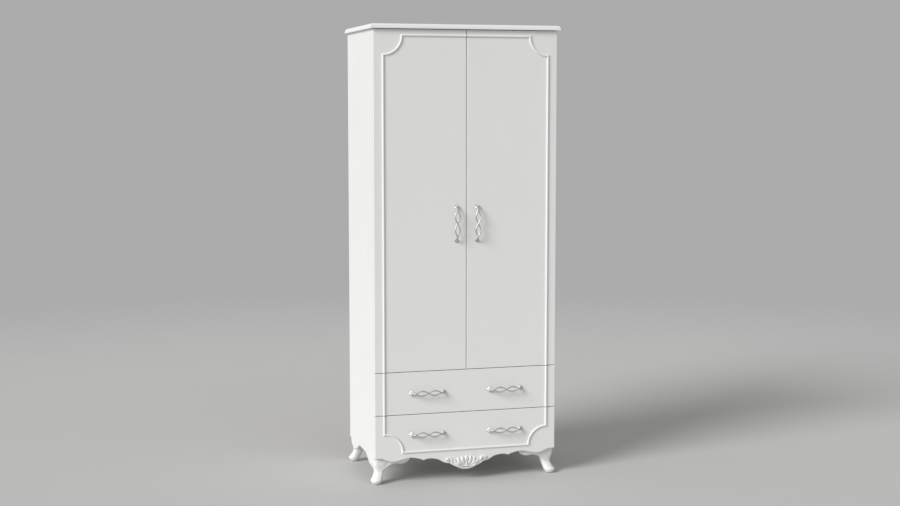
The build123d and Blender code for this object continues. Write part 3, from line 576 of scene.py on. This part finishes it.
@dataclass(frozen=True)
class CabrioleFoot:
    """A cabriole leg with two bracket wings that grow out of its knee.

    Sizes are in millimetres, set out from the carcass corner: p runs inwards along the front, q along the
    side. Each section gives a height, its reach outside and inside the corner, and the power of its rounded
    square.
    """

    sections: tuple[tuple[float, float, float, float], ...] = (
        (3.0, 4.0, 31.0, 2.1), (8.0, 8.0, 35.0, 2.1), (18.5, 13.8, 41.5, 2.1), (34.0, 4.0, 46.5, 2.3),
        (55.0, -6.0, 53.5, 2.7), (98.0, 0.5, 69.0, 4.2), (122.0, 1.0, 78.0, 6.5))
    front_wing: tuple[tuple[float, float], ...] = ((36.0, 58.0), (52.0, 72.0), (72.0, 86.0), (104.0, 96.0),
                                                   (140.0, 93.5), (168.0, 106.0), (178.0, 122.0))
    side_wing: tuple[tuple[float, float], ...] = ((36.0, 62.0), (60.0, 73.0), (118.0, 83.0), (148.0, 98.0),
                                                  (200.0, 122.0))
    top: float = 122.0
    wing_thick: float = 17.0
    wing_inset: float = 1.0
    root_inset: float = 5.0
    root_ends: float = 85.0
    edge: float = 5.0
    leg_rows: int = 72
    leg_ring: int = 64
    wing_rows: int = 64
    edge_steps: int = 13
    sharp_deg: float = 50.0

    def leg(self) -> Array:
        """The leg: rounded squares |u|^n + |v|^n = 1 stacked by height, with a smooth reach between sections.

        Returns:
            Grid of points as (p, q, z).
        """
        table = np.array(self.sections)
        z = np.linspace(table[0, 0], table[-1, 0], self.leg_rows)
        out, inside, power = (through(z, table[:, 0], table[:, column])[:, None] for column in (1, 2, 3))
        angle = turns(self.leg_ring)
        across, along = np.cos(angle), np.sin(angle)
        size = (np.abs(across) ** power + np.abs(along) ** power) ** (-1.0 / power)
        middle, half = (inside - out) / 2, (inside + out) / 2
        return np.stack([middle + half * size * across, middle + half * size * along,
                         np.broadcast_to(z[:, None], size.shape)], axis=-1)

    def wing(self, points: tuple[tuple[float, float], ...]) -> Array:
        """One wing: upright sections between its lower edge and the carcass, rounded below.

        Towards the leg the face steps back by a smooth ramp, so that the wing's root lies inside the knee.

        Args:
            points: the lower edge as (distance from the corner, height).

        Returns:
            Grid of points as (distance, depth, z).
        """
        table = np.array(points)
        knots = np.concatenate([[0.0], np.cumsum(np.hypot(*np.diff(table, axis=0).T))])
        t = np.linspace(0.0, knots[-1], self.wing_rows)
        reach, low = through(t, knots, table[:, 0]), through(t, knots, table[:, 1])
        low = np.minimum(low, self.top - 0.01)
        ramp = np.clip((reach - table[0, 0]) / (self.root_ends - table[0, 0]), 0.0, 1.0)
        face = self.root_inset + (self.wing_inset - self.root_inset) * ramp ** 2 * (3 - 2 * ramp)
        turn = np.linspace(0.0, np.pi, self.edge_steps)
        depth = np.concatenate([[0.0], (1.0 - np.cos(turn)) / 2, [1.0]]) * self.wing_thick
        lift = np.concatenate([[np.inf], self.edge * (1.0 - np.sin(turn)), [np.inf]])
        z = np.minimum(low[:, None] + lift[None, :], self.top)
        reach = np.broadcast_to(reach[:, None], z.shape)
        return np.stack([reach, face[:, None] + depth[None, :], z], axis=-1)

    def shell(self, corner: Vector, side: float, way: float) -> Shell:
        """The foot under one corner of the carcass.

        Args:
            corner: the carcass corner, in metres.
            side: -1 for the left and 1 for the right.
            way: -1 for the front and 1 for the back.

        Returns:
            The foot's surfaces.
        """
        made = Shell()
        side_wing = self.wing(self.side_wing)[..., [1, 0, 2]]
        for grid in (self.leg(), self.wing(self.front_wing), side_wing):
            made.add(np.array(corner) + grid * MM * np.array([-side, -way, 1.0]))
        return made

    def build(self, material: Material) -> None:
        """Makes the four feet in place of their plainer solids.

        Args:
            material: the white lacquer.
        """
        for place, way in (("front", -1.0), ("rear", 1.0)):
            for side in Side:
                node = f"foot_{place}_{side.word}"
                low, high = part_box(node)
                inner_x = low.x if side is Side.RIGHT else high.x
                inner_y = high.y if way < 0 else low.y
                corner = Vector((inner_x + side.value * self.front_wing[-1][0] * MM,
                                 inner_y + way * self.side_wing[-1][0] * MM, 0.0))
                foot = self.shell(corner, side.value, way)
                foot.fit(f"cabriole_{node}", material, self.sharp_deg, "carcass", Slot.LACQUER, node)


@dataclass(frozen=True)
class TwistedHandle:
    """A bow handle of two crossing strands between two leaf feet. Sizes are in millimetres.

    A leaf section gives its place from 0 to 1, half width and half thickness, and a post ring its height and
    radius.
    """

    spacing: float = 160.0
    loop: float = 62.0
    swing: float = 11.3
    lay: float = 2.2
    stand: float = 25.0
    bow: float = 2.1
    strand_wide: float = 3.4
    strand_thick: float = 2.6
    pinch: float = 0.16
    olive: float = 5.2
    olive_half: float = 7.5
    olive_shift: float = 1.0
    olive_low: float = 0.6
    olive_tilt: float = 0.8
    waist: float = 0.12
    waist_share: float = 0.16
    end: float = 92.0
    leaf: tuple[tuple[float, float, float], ...] = (
        (0.0, 3.6, 3.4), (0.25, 3.2, 3.0), (0.45, 4.6, 3.0), (0.62, 9.0, 2.8), (0.74, 12.6, 2.6),
        (0.84, 11.8, 2.2), (0.93, 7.6, 1.6), (1.0, 0.6, 0.5))
    leaf_wave: float = 0.07
    flute: float = 1.1
    post_rings: tuple[tuple[float, float], ...] = (
        (0.0, 7.4), (0.6, 7.7), (1.4, 7.4), (2.4, 6.2), (4.5, 5.0), (7.0, 4.4), (10.6, 3.7), (11.6, 3.6),
        (12.4, 3.0), (12.9, 1.9), (13.1, 0.3))
    strand_rows: int = 97
    olive_rows: int = 25
    olive_ring: int = 28
    leaf_rows: int = 56
    leaf_ring: int = 40
    post_ring: int = 36
    sharp_deg: float = 40.0

    def strand(self, sign: float) -> Array:
        """One strand: a flattened helix, swing * sin(pi t / loop) across and lay * cos(pi t / loop) outwards.

        Args:
            sign: 1 or -1 for the two strands.

        Returns:
            Grid of points as (along, across, out).
        """
        t = np.linspace(-self.loop, self.loop, self.strand_rows)
        phase = np.pi * t / self.loop
        across = sign * self.swing * np.sin(phase)
        out = self.stand + self.bow * (1.0 - (t / self.loop) ** 2) + sign * self.lay * np.cos(phase)
        path = np.stack([t, across, out], axis=-1)
        pinch = 1.0 - self.pinch * np.cos(phase) ** 2
        tilted = np.array([0.0, 1.0, 0.2])
        return bar_along(path, tilted, self.strand_wide * pinch, self.strand_thick * pinch)

    def gather(self, sign: float) -> Array:
        """The olive that gathers the strands: an ellipsoid with a shallow waist line round its middle.

        Args:
            sign: which end of the handle.

        Returns:
            Grid of points as (along, across, out).
        """
        near_pole = 0.985
        u = np.sin(np.linspace(-1.0, 1.0, self.olive_rows) * np.pi / 2 * near_pole)
        along = sign * (self.loop + self.olive_shift + self.olive_half * u)
        path = np.stack([along, 0.0 * u, self.stand - self.olive_low - self.olive_tilt * u], axis=-1)
        line = 1.0 - self.waist * np.exp(-(u / self.waist_share) ** 2)
        bulk = self.olive * np.sqrt(1.0 - u ** 2) * line
        return bar_along(path, ACROSS, bulk, bulk, self.olive_ring)

    def foot(self, sign: float) -> Array:
        """A leaf foot: a bar that leaves the olive, dips to the front and spreads into a fluted leaf.

        The half width runs from the neck to the leaf and closes to a point. The upper half of each section is
        raised by cos(3 pi u) across the leaf, which gives it a midrib and two flutes.

        Args:
            sign: which end of the handle.

        Returns:
            Grid of points as (along, across, out).
        """
        line = bezier([(self.loop + 4.0, self.stand - 1.5), (self.loop + 12.0, self.stand - 2.0),
                       (self.spacing / 2 - 9.0, 6.5), (self.end - 0.6, 1.9)], self.leaf_rows)
        s = np.linspace(0.0, 1.0, self.leaf_rows)
        table = np.array(self.leaf)
        even = np.ones(5) / 5
        wide, thick = (np.convolve(np.pad(np.interp(s, table[:, 0], table[:, column]), 2, mode="edge"), even,
                                   mode="valid") for column in (1, 2))
        lobes = 1.0 + self.leaf_wave * np.sin(6 * np.pi * s) * (s > 0.5)
        path = np.stack([sign * line[:, 0], np.zeros(self.leaf_rows), line[:, 1]], axis=-1)
        grid = bar_along(path, ACROSS, wide * lobes, thick, self.leaf_ring)
        u = np.cos(turns(self.leaf_ring))
        upper = (grid[..., 2] > path[:, None, 2]).astype(float)
        depth = self.flute * np.clip((s - 0.4) / 0.3, 0.0, 1.0) * np.clip((1.0 - s) / 0.12, 0.0, 1.0)
        grid[..., 2] += upper * depth[:, None] * np.cos(3 * np.pi * u) * np.sqrt(1.0 - u ** 2)
        grid[..., 2] = np.maximum(grid[..., 2], 0.0)
        return grid

    def post(self, sign: float) -> Array:
        """A turned seat under each foot that ends in a button on the leaf: radius by height, spun round.

        Args:
            sign: which end of the handle.

        Returns:
            Grid of points as (along, across, out).
        """
        height, radius = np.array(self.post_rings).T
        angle = turns(self.post_ring)
        along = sign * self.spacing / 2 + radius[:, None] * np.cos(angle)
        across = radius[:, None] * np.sin(angle)
        return np.stack([along, across, np.broadcast_to(height[:, None], along.shape)], axis=-1)

    def shell(self, middle: Vector, along: Vector, across: Vector) -> Shell:
        """The whole handle in its place.

        Args:
            middle: centre of the handle on the front face, in metres.
            along: direction of its length.
            across: direction of its width.

        Returns:
            The handle's surfaces.
        """
        made = Shell()
        axes = np.array([along, across, (0.0, -1.0, 0.0)])
        for sign in (-1.0, 1.0):
            for grid in (self.strand(sign), self.gather(sign), self.foot(sign), self.post(sign)):
                made.add(np.array(middle) + grid * MM @ axes)
        return made


@dataclass(frozen=True)
class HandleSet:
    """All six handles, each in place of a plain stand-in, which reaches past its outer screw by overhang."""

    handle: TwistedHandle = TwistedHandle()
    overhang: float = 12.0

    def build(self, material: Material) -> None:
        """Makes the door and drawer handles.

        Args:
            material: the handles' metal.
        """
        for side in Side:
            node = f"door_handle_{side.word}"
            low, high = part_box(node)
            middle = Vector(((low.x + high.x) / 2, high.y, (low.z + high.z) / 2))
            shell = self.handle.shell(middle, Vector((0, 0, 1)), Vector((side.value, 0, 0)))
            shell.fit(f"bow_handle_door_{side.word}", material, self.handle.sharp_deg, f"door_{side.word}",
                      Slot.HANDLE, node)
        for level in ("upper", "lower"):
            node = f"{level}_drawer_handles"
            low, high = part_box(node)
            reach = high.x - self.handle.spacing * MM / 2 - self.overhang * MM
            pair = Shell()
            for side in Side:
                middle = Vector((side.value * reach, high.y, (low.z + high.z) / 2))
                pair.take(self.handle.shell(middle, Vector((side.value, 0, 0)), Vector((0, 0, 1))))
            pair.fit(f"bow_handles_drawer_{level}", material, self.handle.sharp_deg, f"drawer_{level}",
                     Slot.HANDLE, node)


@dataclass(frozen=True)
class Leaf:
    """A carved leaf on the apron: a curve in the front plane, a half width and a relief, in millimetres.

    The groove beside the midrib has a depth, a place and a breadth, as shares of the relief and half width.
    """

    curve: tuple[tuple[float, float], ...]
    width: float
    rise: float
    lobes: int = 4
    lobe_depth: float = 0.3
    curl: float = 0.0
    belly: float = 0.75
    groove: tuple[float, float, float] = (0.24, 0.28, 0.14)
    rows: int = 72
    ring: int = 34

    def grid(self) -> Array:
        """The leaf's closed surface.

        Along the curve the half width is width * sin(pi s^belly)^0.7, cut into lobes by a rounded saw line.
        Across it the relief is arched, with a groove on each side of the midrib and a hollow between
        neighbouring lobes. Its back lies flat, a little below the face that carries it.

        Returns:
            Grid of points as (x, z, out).
        """
        line = bezier(list(self.curve), self.rows)
        ahead = unit(np.gradient(line, axis=0))
        side = np.stack([-ahead[:, 1], ahead[:, 0]], axis=-1)
        s = np.linspace(0.0, 1.0, self.rows)
        swell = np.sin(np.pi * np.clip(s, 0.012, 0.988) ** self.belly) ** 0.7
        saw = np.abs(np.sin(np.pi * self.lobes * s)) ** 0.7
        half = self.width * swell * (1.0 - self.lobe_depth * (1.0 - saw))
        angle = turns(self.ring)
        u = np.cos(angle)
        arch = np.clip(np.sin(angle), 0.0, 1.0) ** 0.6
        deep, at, broad = self.groove
        midrib = 1.0 - deep * np.exp(-((np.abs(u) - at) / broad) ** 2)
        hollow = 1.0 - 0.9 * self.lobe_depth * (1.0 - saw)[:, None] * np.abs(u)[None, :]
        lift = (0.45 + 0.55 * swell) * (1.0 + self.curl * (s - 0.5))
        out = self.rise * lift[:, None] * (arch * midrib)[None, :] * hollow
        out = np.where(np.sin(angle)[None, :] < -1e-6, -CARVING_SINK, out)
        flat = line[:, None, :] + (half[:, None] * u[None, :])[..., None] * side[:, None, :]
        return np.concatenate([flat, out[..., None]], axis=-1)


@dataclass(frozen=True)
class ApronCarving:
    """The carved ornament on the apron: a palmette between C scrolls and leafy branches, over a crescent.

    Sizes are in millimetres. A bud gives its height on the axis, half width, half height, rise and flutes.
    A curl gives its centre, first and last radius, turns and first angle in degrees. The scroll has a curve,
    then the centre, first and last radius and turns of the coil that ends it. Leaves, curl and scroll are
    those of the right half.
    """

    leaves: tuple[Leaf, ...] = (
        Leaf(((3.0, 76.0), (13.0, 83.0), (20.5, 95.0), (20.5, 117.5)), 8.4, 10.4, 1, 0.0, 0.5, 1.3),
        Leaf(((8.0, 74.0), (28.0, 77.0), (41.0, 90.0), (40.0, 112.5)), 8.6, 10.0, 1, 0.0, 0.5, 1.3),
        Leaf(((20.0, 72.0), (42.0, 74.0), (58.0, 86.0), (59.0, 107.0)), 8.0, 9.4, 1, 0.0, 0.5, 1.3),
        Leaf(((16.0, 69.0), (44.0, 67.5), (68.0, 84.0), (99.0, 97.5)), 6.4, 7.8, 5, 0.3, 0.2),
        Leaf(((60.0, 86.0), (68.0, 93.0), (74.0, 103.0), (81.0, 116.0)), 7.6, 9.6, 3, 0.24, 0.4, 1.1))
    petal: Leaf = Leaf(((0.0, 82.0), (0.0, 94.0), (0.0, 106.0), (0.0, 120.0)), 8.4, 10.8, 1, 0.0, 0.4, 1.3)
    buds: tuple[tuple[float, float, float, float, int], ...] = (
        (83.0, 5.2, 8.4, 11.4, 5), (72.0, 13.5, 4.6, 12.0, 7))
    curl: tuple[Point, Point, float, float] = ((93.0, 107.0), (8.6, 2.4), 1.4, -70.0)
    scroll_curve: tuple[Point, ...] = ((4.0, 80.0), (10.0, 68.0), (36.0, 66.0), (47.0, 78.0))
    scroll_coil: tuple[Point, Point, float] = ((40.5, 84.0), (8.8, 2.2), 1.25)
    crescent_half: float = 43.0
    crescent_low: float = 61.4
    crescent_rise: float = 13.0
    crescent_out: float = 1.6
    crescent_wide: float = 3.0
    crescent_thick: float = 7.0
    point_size: float = 0.2
    steps: int = 72
    bar_ring: int = 18
    crescent_ring: int = 22
    bud_rows: int = 16
    bud_ring: int = 48
    sharp_deg: float = 60.0

    def coil(self, centre: Point, radii: Point, turning: float, first: float, ease: float) -> Array:
        """A flat spiral whose radius runs from the first to the last value with s^ease.

        Args:
            centre: its centre.
            radii: first and last radius.
            turning: number of turns.
            first: first angle in radians.
            ease: power of the radius law.

        Returns:
            Points as (x, z).
        """
        s = np.linspace(0.0, 1.0, self.steps)
        angle = first + 2 * np.pi * turning * s
        radius = radii[0] + (radii[1] - radii[0]) * s ** ease
        return np.stack([centre[0] + radius * np.cos(angle), centre[1] + radius * np.sin(angle)], axis=-1)

    def rope(self, flat: Array, lift: Point, shares: list[float], bulk: list[float]) -> Array:
        """A round bar along a flat line, rising evenly out of the face.

        Args:
            flat: points as (x, z).
            lift: first and last height of its middle above the face.
            shares: places along the line, from 0 to 1.
            bulk: the bar's radius at those places.

        Returns:
            Grid of points as (x, z, out).
        """
        s = np.linspace(0.0, 1.0, len(flat))
        path = np.concatenate([flat, (lift[0] + (lift[1] - lift[0]) * s)[:, None]], axis=-1)
        radius = np.interp(s, shares, bulk)
        return bar_along(path, OUT, radius, radius, self.bar_ring)

    def end_curl(self) -> Array:
        """The curl at the end of a branch: a round bar along a spiral, as (x, z, out)."""
        centre, radii, turning, begin_deg = self.curl
        flat = self.coil(centre, radii, turning, math.radians(begin_deg), 0.85)
        return self.rope(flat, (3.2, 6.4), [0, 0.15, 0.8, 1], [1.6, 3.1, 2.6, 3.2])

    def c_scroll(self) -> Array:
        """A C scroll in front of the palmette: a curve that runs on into a spiral, as (x, z, out)."""
        centre, radii, turning = self.scroll_coil
        x, z = self.scroll_curve[-1]
        first = math.atan2(z - centre[1], x - centre[0])
        lead = bezier(list(self.scroll_curve), self.steps // 2)
        flat = np.concatenate([lead[:-1], self.coil(centre, radii, turning, first, 0.9)])
        return self.rope(flat, (7.0, 10.0), [0, 0.2, 0.85, 1], [1.2, 2.9, 2.3, 2.8])

    def bud(self, z: float, wide: float, tall: float, rise: float, flutes: int) -> Array:
        """A rounded bud on the axis: an ellipse domed outwards, with soft flutes round it.

        Args:
            z: centre.
            wide: half width.
            tall: half height.
            rise: height of the dome.
            flutes: number of flutes.

        Returns:
            Grid of points as (x, z, out).
        """
        flute_depth, near_pole = 0.06, 0.03
        angle = turns(self.bud_ring)
        level = np.sin(np.linspace(0.0, np.pi / 2 - near_pole, self.bud_rows))[:, None]
        spread = np.sqrt(1.0 - level ** 2) * (1.0 + flute_depth * np.cos(flutes * angle))[None, :]
        out = rise * level - CARVING_SINK * (level == 0.0)
        return np.stack([wide * spread * np.cos(angle), z + tall * spread * np.sin(angle),
                         np.broadcast_to(out, spread.shape)], axis=-1)

    def crescent(self) -> Array:
        """The lower band: an oval bar along a shallow arc, thick in the middle and pointed at both ends."""
        x = np.linspace(-self.crescent_half, self.crescent_half, self.steps)
        z = self.crescent_low + self.crescent_rise * (x / self.crescent_half) ** 2
        path = np.stack([x, z, np.full_like(x, self.crescent_out)], axis=-1)
        fade = np.sqrt(np.clip(1.0 - (x / (self.crescent_half + 0.6)) ** 2, 0.0, 1.0))
        return bar_along(path, ACROSS, self.crescent_wide * fade + self.point_size,
                         self.crescent_thick * fade + self.point_size, self.crescent_ring)

    def half(self) -> list[Array]:
        """Surfaces of the right half, as (x, z, out)."""
        return [leaf.grid() for leaf in self.leaves] + [self.end_curl(), self.c_scroll()]

    def middle(self) -> list[Array]:
        """Surfaces on the axis: the top petal, the bud with its collar, and the crescent below."""
        return [self.petal.grid(), *(self.bud(*bud) for bud in self.buds), self.crescent()]

    def build(self, material: Material) -> None:
        """Makes the ornament in place of its plain stand-in.

        Args:
            material: the white lacquer.
        """
        face_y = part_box("apron_carving")[1].y
        shell = Shell()
        for grid in self.half():
            shell.add(self.on_apron(grid, face_y))
        shell.take(shell.mirrored())
        for grid in self.middle():
            shell.add(self.on_apron(grid, face_y))
        shell.fit("apron_scrollwork", material, self.sharp_deg, "drawer_lower", Slot.LACQUER, "apron_carving")

    @staticmethod
    def on_apron(grid: Array, face_y: float) -> Array:
        """Points of (x, z, out) in millimetres, set on the apron's front face in metres."""
        return np.stack([grid[..., 0] * MM, face_y - grid[..., 2] * MM, grid[..., 1] * MM], axis=-1)


@dataclass(frozen=True)
class CrossScrew:
    """A small pan-head screw with a cross recess. Sizes are in millimetres."""

    radius: float = 3.4
    height: float = 1.9
    recess: float = 1.1
    arm: float = 0.55
    reach: float = 2.0
    ring: int = 48

    def head(self) -> Array:
        """A dome over a disc, h = height * (1 - (r / radius)^4)^0.5, sunk by recess inside a plus sign.

        Returns:
            Grid of points as (x, y, out).
        """
        share = np.concatenate([np.linspace(1.0, 0.9, 4), np.linspace(0.82, 0.02, 14)])
        angle = turns(self.ring)
        x = self.radius * share[:, None] * np.cos(angle)
        y = self.radius * share[:, None] * np.sin(angle)
        dome = self.height * np.sqrt(np.clip(1.0 - share ** 4, 0.0, 1.0))[:, None]
        near, far = np.minimum(np.abs(x), np.abs(y)), np.maximum(np.abs(x), np.abs(y))
        cross = (near < self.arm) & (far < self.reach)
        return np.stack([x, y, dome - self.recess * cross], axis=-1)

    def shell(self, places: list[Vector], out: Vector) -> Shell:
        """Screws at several places, all facing the same way.

        Args:
            places: middle of each head's seat, in metres.
            out: direction that the heads face.

        Returns:
            The screws' surfaces.
        """
        side = out.orthogonal().normalized()
        axes = np.array([side, out.cross(side), out])
        made = Shell()
        for place in places:
            made.add(np.array(place) + self.head() * MM @ axes)
        return made


@dataclass(frozen=True)
class HingeScrews:
    """Screws of the concealed hinges: two through each mounting plate and two through each cup flange."""

    levels: int = 4
    plate_offset: float = 17.0
    flange_offset: float = 21.5
    flange_x: float = 28.5
    plate_x: float = 1.6
    plate_half: float = 24.0
    flange_half: float = 26.0
    wing_shift: float = 1.0
    screw: CrossScrew = CrossScrew()
    flange_screw: CrossScrew = CrossScrew(2.9, 0.9, 0.6, 0.45, 1.7)
    sharp_deg: float = 35.0

    def heights(self, node: str, half: float) -> list[float]:
        """Heights of the hinges, from the ends of a grouped node and the half height of one of its parts."""
        low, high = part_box(node)
        return list(np.linspace(low.z + half * MM, high.z - half * MM, self.levels))

    def build(self, material: Material) -> None:
        """Makes the screws on the carcass and on both doors.

        Args:
            material: the zinc plated steel.
        """
        plate_low, plate_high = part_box("hinge_plates")
        plate_y = (plate_low.y + plate_high.y) / 2 - self.wing_shift * MM
        plates = Shell()
        for side in Side:
            x = side.value * (plate_high.x - self.plate_x * MM)
            places = [Vector((x, plate_y, z + step * self.plate_offset * MM))
                      for z in self.heights("hinge_plates", self.plate_half) for step in (-1, 1)]
            plates.take(self.screw.shell(places, Vector((-side.value, 0, 0))))
        plates.fit("hinge_plate_screws", material, self.sharp_deg, "carcass", Slot.STEEL)
        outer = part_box("side_panel_right")[1].x
        for side in Side:
            node = f"hinge_cups_{side.word}"
            face_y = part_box(node)[1].y
            x = side.value * (outer - self.flange_x * MM)
            places = [Vector((x, face_y, z + step * self.flange_offset * MM))
                      for z in self.heights(node, self.flange_half) for step in (-1, 1)]
            screws = self.flange_screw.shell(places, Vector((0, 1, 0)))
            screws.fit(f"hinge_cup_screws_{side.word}", material, self.sharp_deg, f"door_{side.word}",
                       Slot.STEEL)


@dataclass(frozen=True)
class Studio:
    """Plain pale floor, plain backdrop, soft light and the photograph's camera."""

    backdrop: Colour = (0.41, 0.41, 0.413)
    floor: Colour = (0.56, 0.556, 0.55)
    ambient: float = 0.42
    floor_roughness: float = 0.75
    floor_cloud: float = 3.0
    floor_shade: float = 0.97
    floor_solid: float = 3.0
    floor_gone: float = 8.0
    floor_rim: float = 0.97
    floor_rings: int = 23
    floor_ring: int = 96
    floor_sharp_deg: float = 40.0
    camera_from_front: tuple[float, float, float] = (-2.01333, -6.83294, 1.80598)
    camera_yaw_deg: float = 15.788
    camera_pitch_deg: float = 5.658
    lens_mm: float = 60.205
    sensor_mm: float = 36.0
    camera_far: float = 60.0
    sun_from: tuple[float, float, float] = (-0.768, -0.398, 0.502)
    sun_strength: float = 2.85
    sun_spread_deg: float = 26.0

    def build(self) -> None:
        """Builds the floor, the world, the lamp and the camera."""
        self.build_floor()
        self.build_world()
        self.build_sun()
        self.build_camera()

    def build_floor(self) -> None:
        """A wide disc that fades out before its edge."""
        radius = np.linspace(0.0, self.floor_gone, self.floor_rings + 1)[1:, None]
        angle = turns(self.floor_ring)
        x, y = radius * np.cos(angle), radius * np.sin(angle)
        shell = Shell()
        shell.add(np.stack([x, y, 0.0 * x], axis=-1), far_cap=False)
        paint = bpy.data.materials.new("studio_floor")
        paint.use_nodes = True
        nodes = NodeTree(paint.node_tree)
        shader = paint.node_tree.nodes["Principled BSDF"]
        shader.inputs["Roughness"].default_value = self.floor_roughness
        place = nodes.add("ShaderNodeTexCoord")
        tone = nodes.blend(nodes.noise(place.outputs["Object"], self.floor_cloud), self.floor,
                           tuple(self.floor_shade * part for part in self.floor))
        nodes.join(tone, shader.inputs["Base Color"])
        length = nodes.add("ShaderNodeVectorMath", operation="LENGTH")
        nodes.join(place.outputs["Object"], length.inputs[0])
        fade = nodes.add("ShaderNodeMapRange", interpolation_type="SMOOTHSTEP")
        fade.inputs["From Min"].default_value = self.floor_solid
        fade.inputs["From Max"].default_value = self.floor_gone * self.floor_rim
        fade.inputs["To Min"].default_value = 1.0
        fade.inputs["To Max"].default_value = 0.0
        nodes.join(length.outputs["Value"], fade.inputs["Value"])
        nodes.join(fade.outputs["Result"], shader.inputs["Alpha"])
        shell.piece("studio_floor", paint, self.floor_sharp_deg)

    def build_world(self) -> None:
        """Even ambient light, with the backdrop's colour for what the camera, metal and glass see."""
        world = bpy.data.worlds.new("studio")
        world.use_nodes = True
        bpy.context.scene.world = world
        nodes = NodeTree(world.node_tree)
        fill = world.node_tree.nodes["Background"]
        fill.inputs["Color"].default_value = (1.0, 1.0, 1.0, 1.0)
        fill.inputs["Strength"].default_value = self.ambient
        seen = nodes.add("ShaderNodeBackground")
        seen.inputs["Color"].default_value = rgba(self.backdrop)
        rays = nodes.add("ShaderNodeLightPath")
        direct = nodes.math("MAXIMUM", rays.outputs["Is Camera Ray"], rays.outputs["Is Glossy Ray"])
        direct = nodes.math("MAXIMUM", direct, rays.outputs["Is Transmission Ray"])
        mix = nodes.add("ShaderNodeMixShader")
        nodes.join(direct, mix.inputs["Fac"])
        nodes.join(fill.outputs[0], mix.inputs[1])
        nodes.join(seen.outputs[0], mix.inputs[2])
        nodes.join(mix.outputs[0], world.node_tree.nodes["World Output"].inputs["Surface"])

    def build_sun(self) -> None:
        """One soft distant lamp from the upper left."""
        data = bpy.data.lights.new("key_lamp", "SUN")
        data.energy = self.sun_strength
        data.angle = math.radians(self.sun_spread_deg)
        lamp = bpy.data.objects.new("key_lamp", data)
        lamp.rotation_euler = (-Vector(self.sun_from)).to_track_quat("-Z", "Y").to_euler()
        bpy.context.scene.collection.objects.link(lamp)

    def build_camera(self) -> None:
        """The photograph's camera, measured from the doors' front face."""
        data = bpy.data.cameras.new("photo_camera")
        data.sensor_fit = "HORIZONTAL"
        data.sensor_width = self.sensor_mm
        data.lens = self.lens_mm
        data.clip_end = self.camera_far
        camera = bpy.data.objects.new("photo_camera", data)
        x, y, z = self.camera_from_front
        camera.location = (x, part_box("door_panel_left")[0].y + y, z)
        camera.rotation_euler = (math.radians(90.0 - self.camera_pitch_deg), 0.0,
                                 math.radians(-self.camera_yaw_deg))
        bpy.context.scene.collection.objects.link(camera)
        bpy.context.scene.camera = camera


def dress_frame(materials: dict[Slot, Material], special: dict[str, Material]) -> None:
    """Gives every node of the frame the finish of its slot.

    Args:
        materials: one material for each slot.
        special: materials of single nodes that differ from their slot's.
    """
    for part in frame["record"]["subparts"]:
        node = frame["nodes"][part["node"]]
        node.data.materials.clear()
        node.data.materials.append(special.get(part["node"], materials[Slot(part["material_slot"])]))
        log.info("%s dressed as %s", part["node"], part["material_slot"])


def main() -> None:
    """Builds the studio and every piece of the wardrobe."""
    logging.basicConfig(level=logging.INFO, format="%(name)s: %(message)s")
    bpy.context.scene.view_settings.view_transform = "Standard"
    effects = SurfaceEffects.build()
    materials = {slot: finish.material(effects) for slot, finish in FINISHES.items()}
    bare_below = DRAWER_BOTTOM.material(effects)
    dress_frame(materials, {f"{level}_drawer_bottom": bare_below for level in ("upper", "lower")})
    HandleSet().build(materials[Slot.HANDLE])
    CabrioleFoot().build(materials[Slot.LACQUER])
    ApronCarving().build(materials[Slot.LACQUER])
    HingeScrews().build(materials[Slot.STEEL])
    Studio().build()


if __name__ == "__main__":
    main()
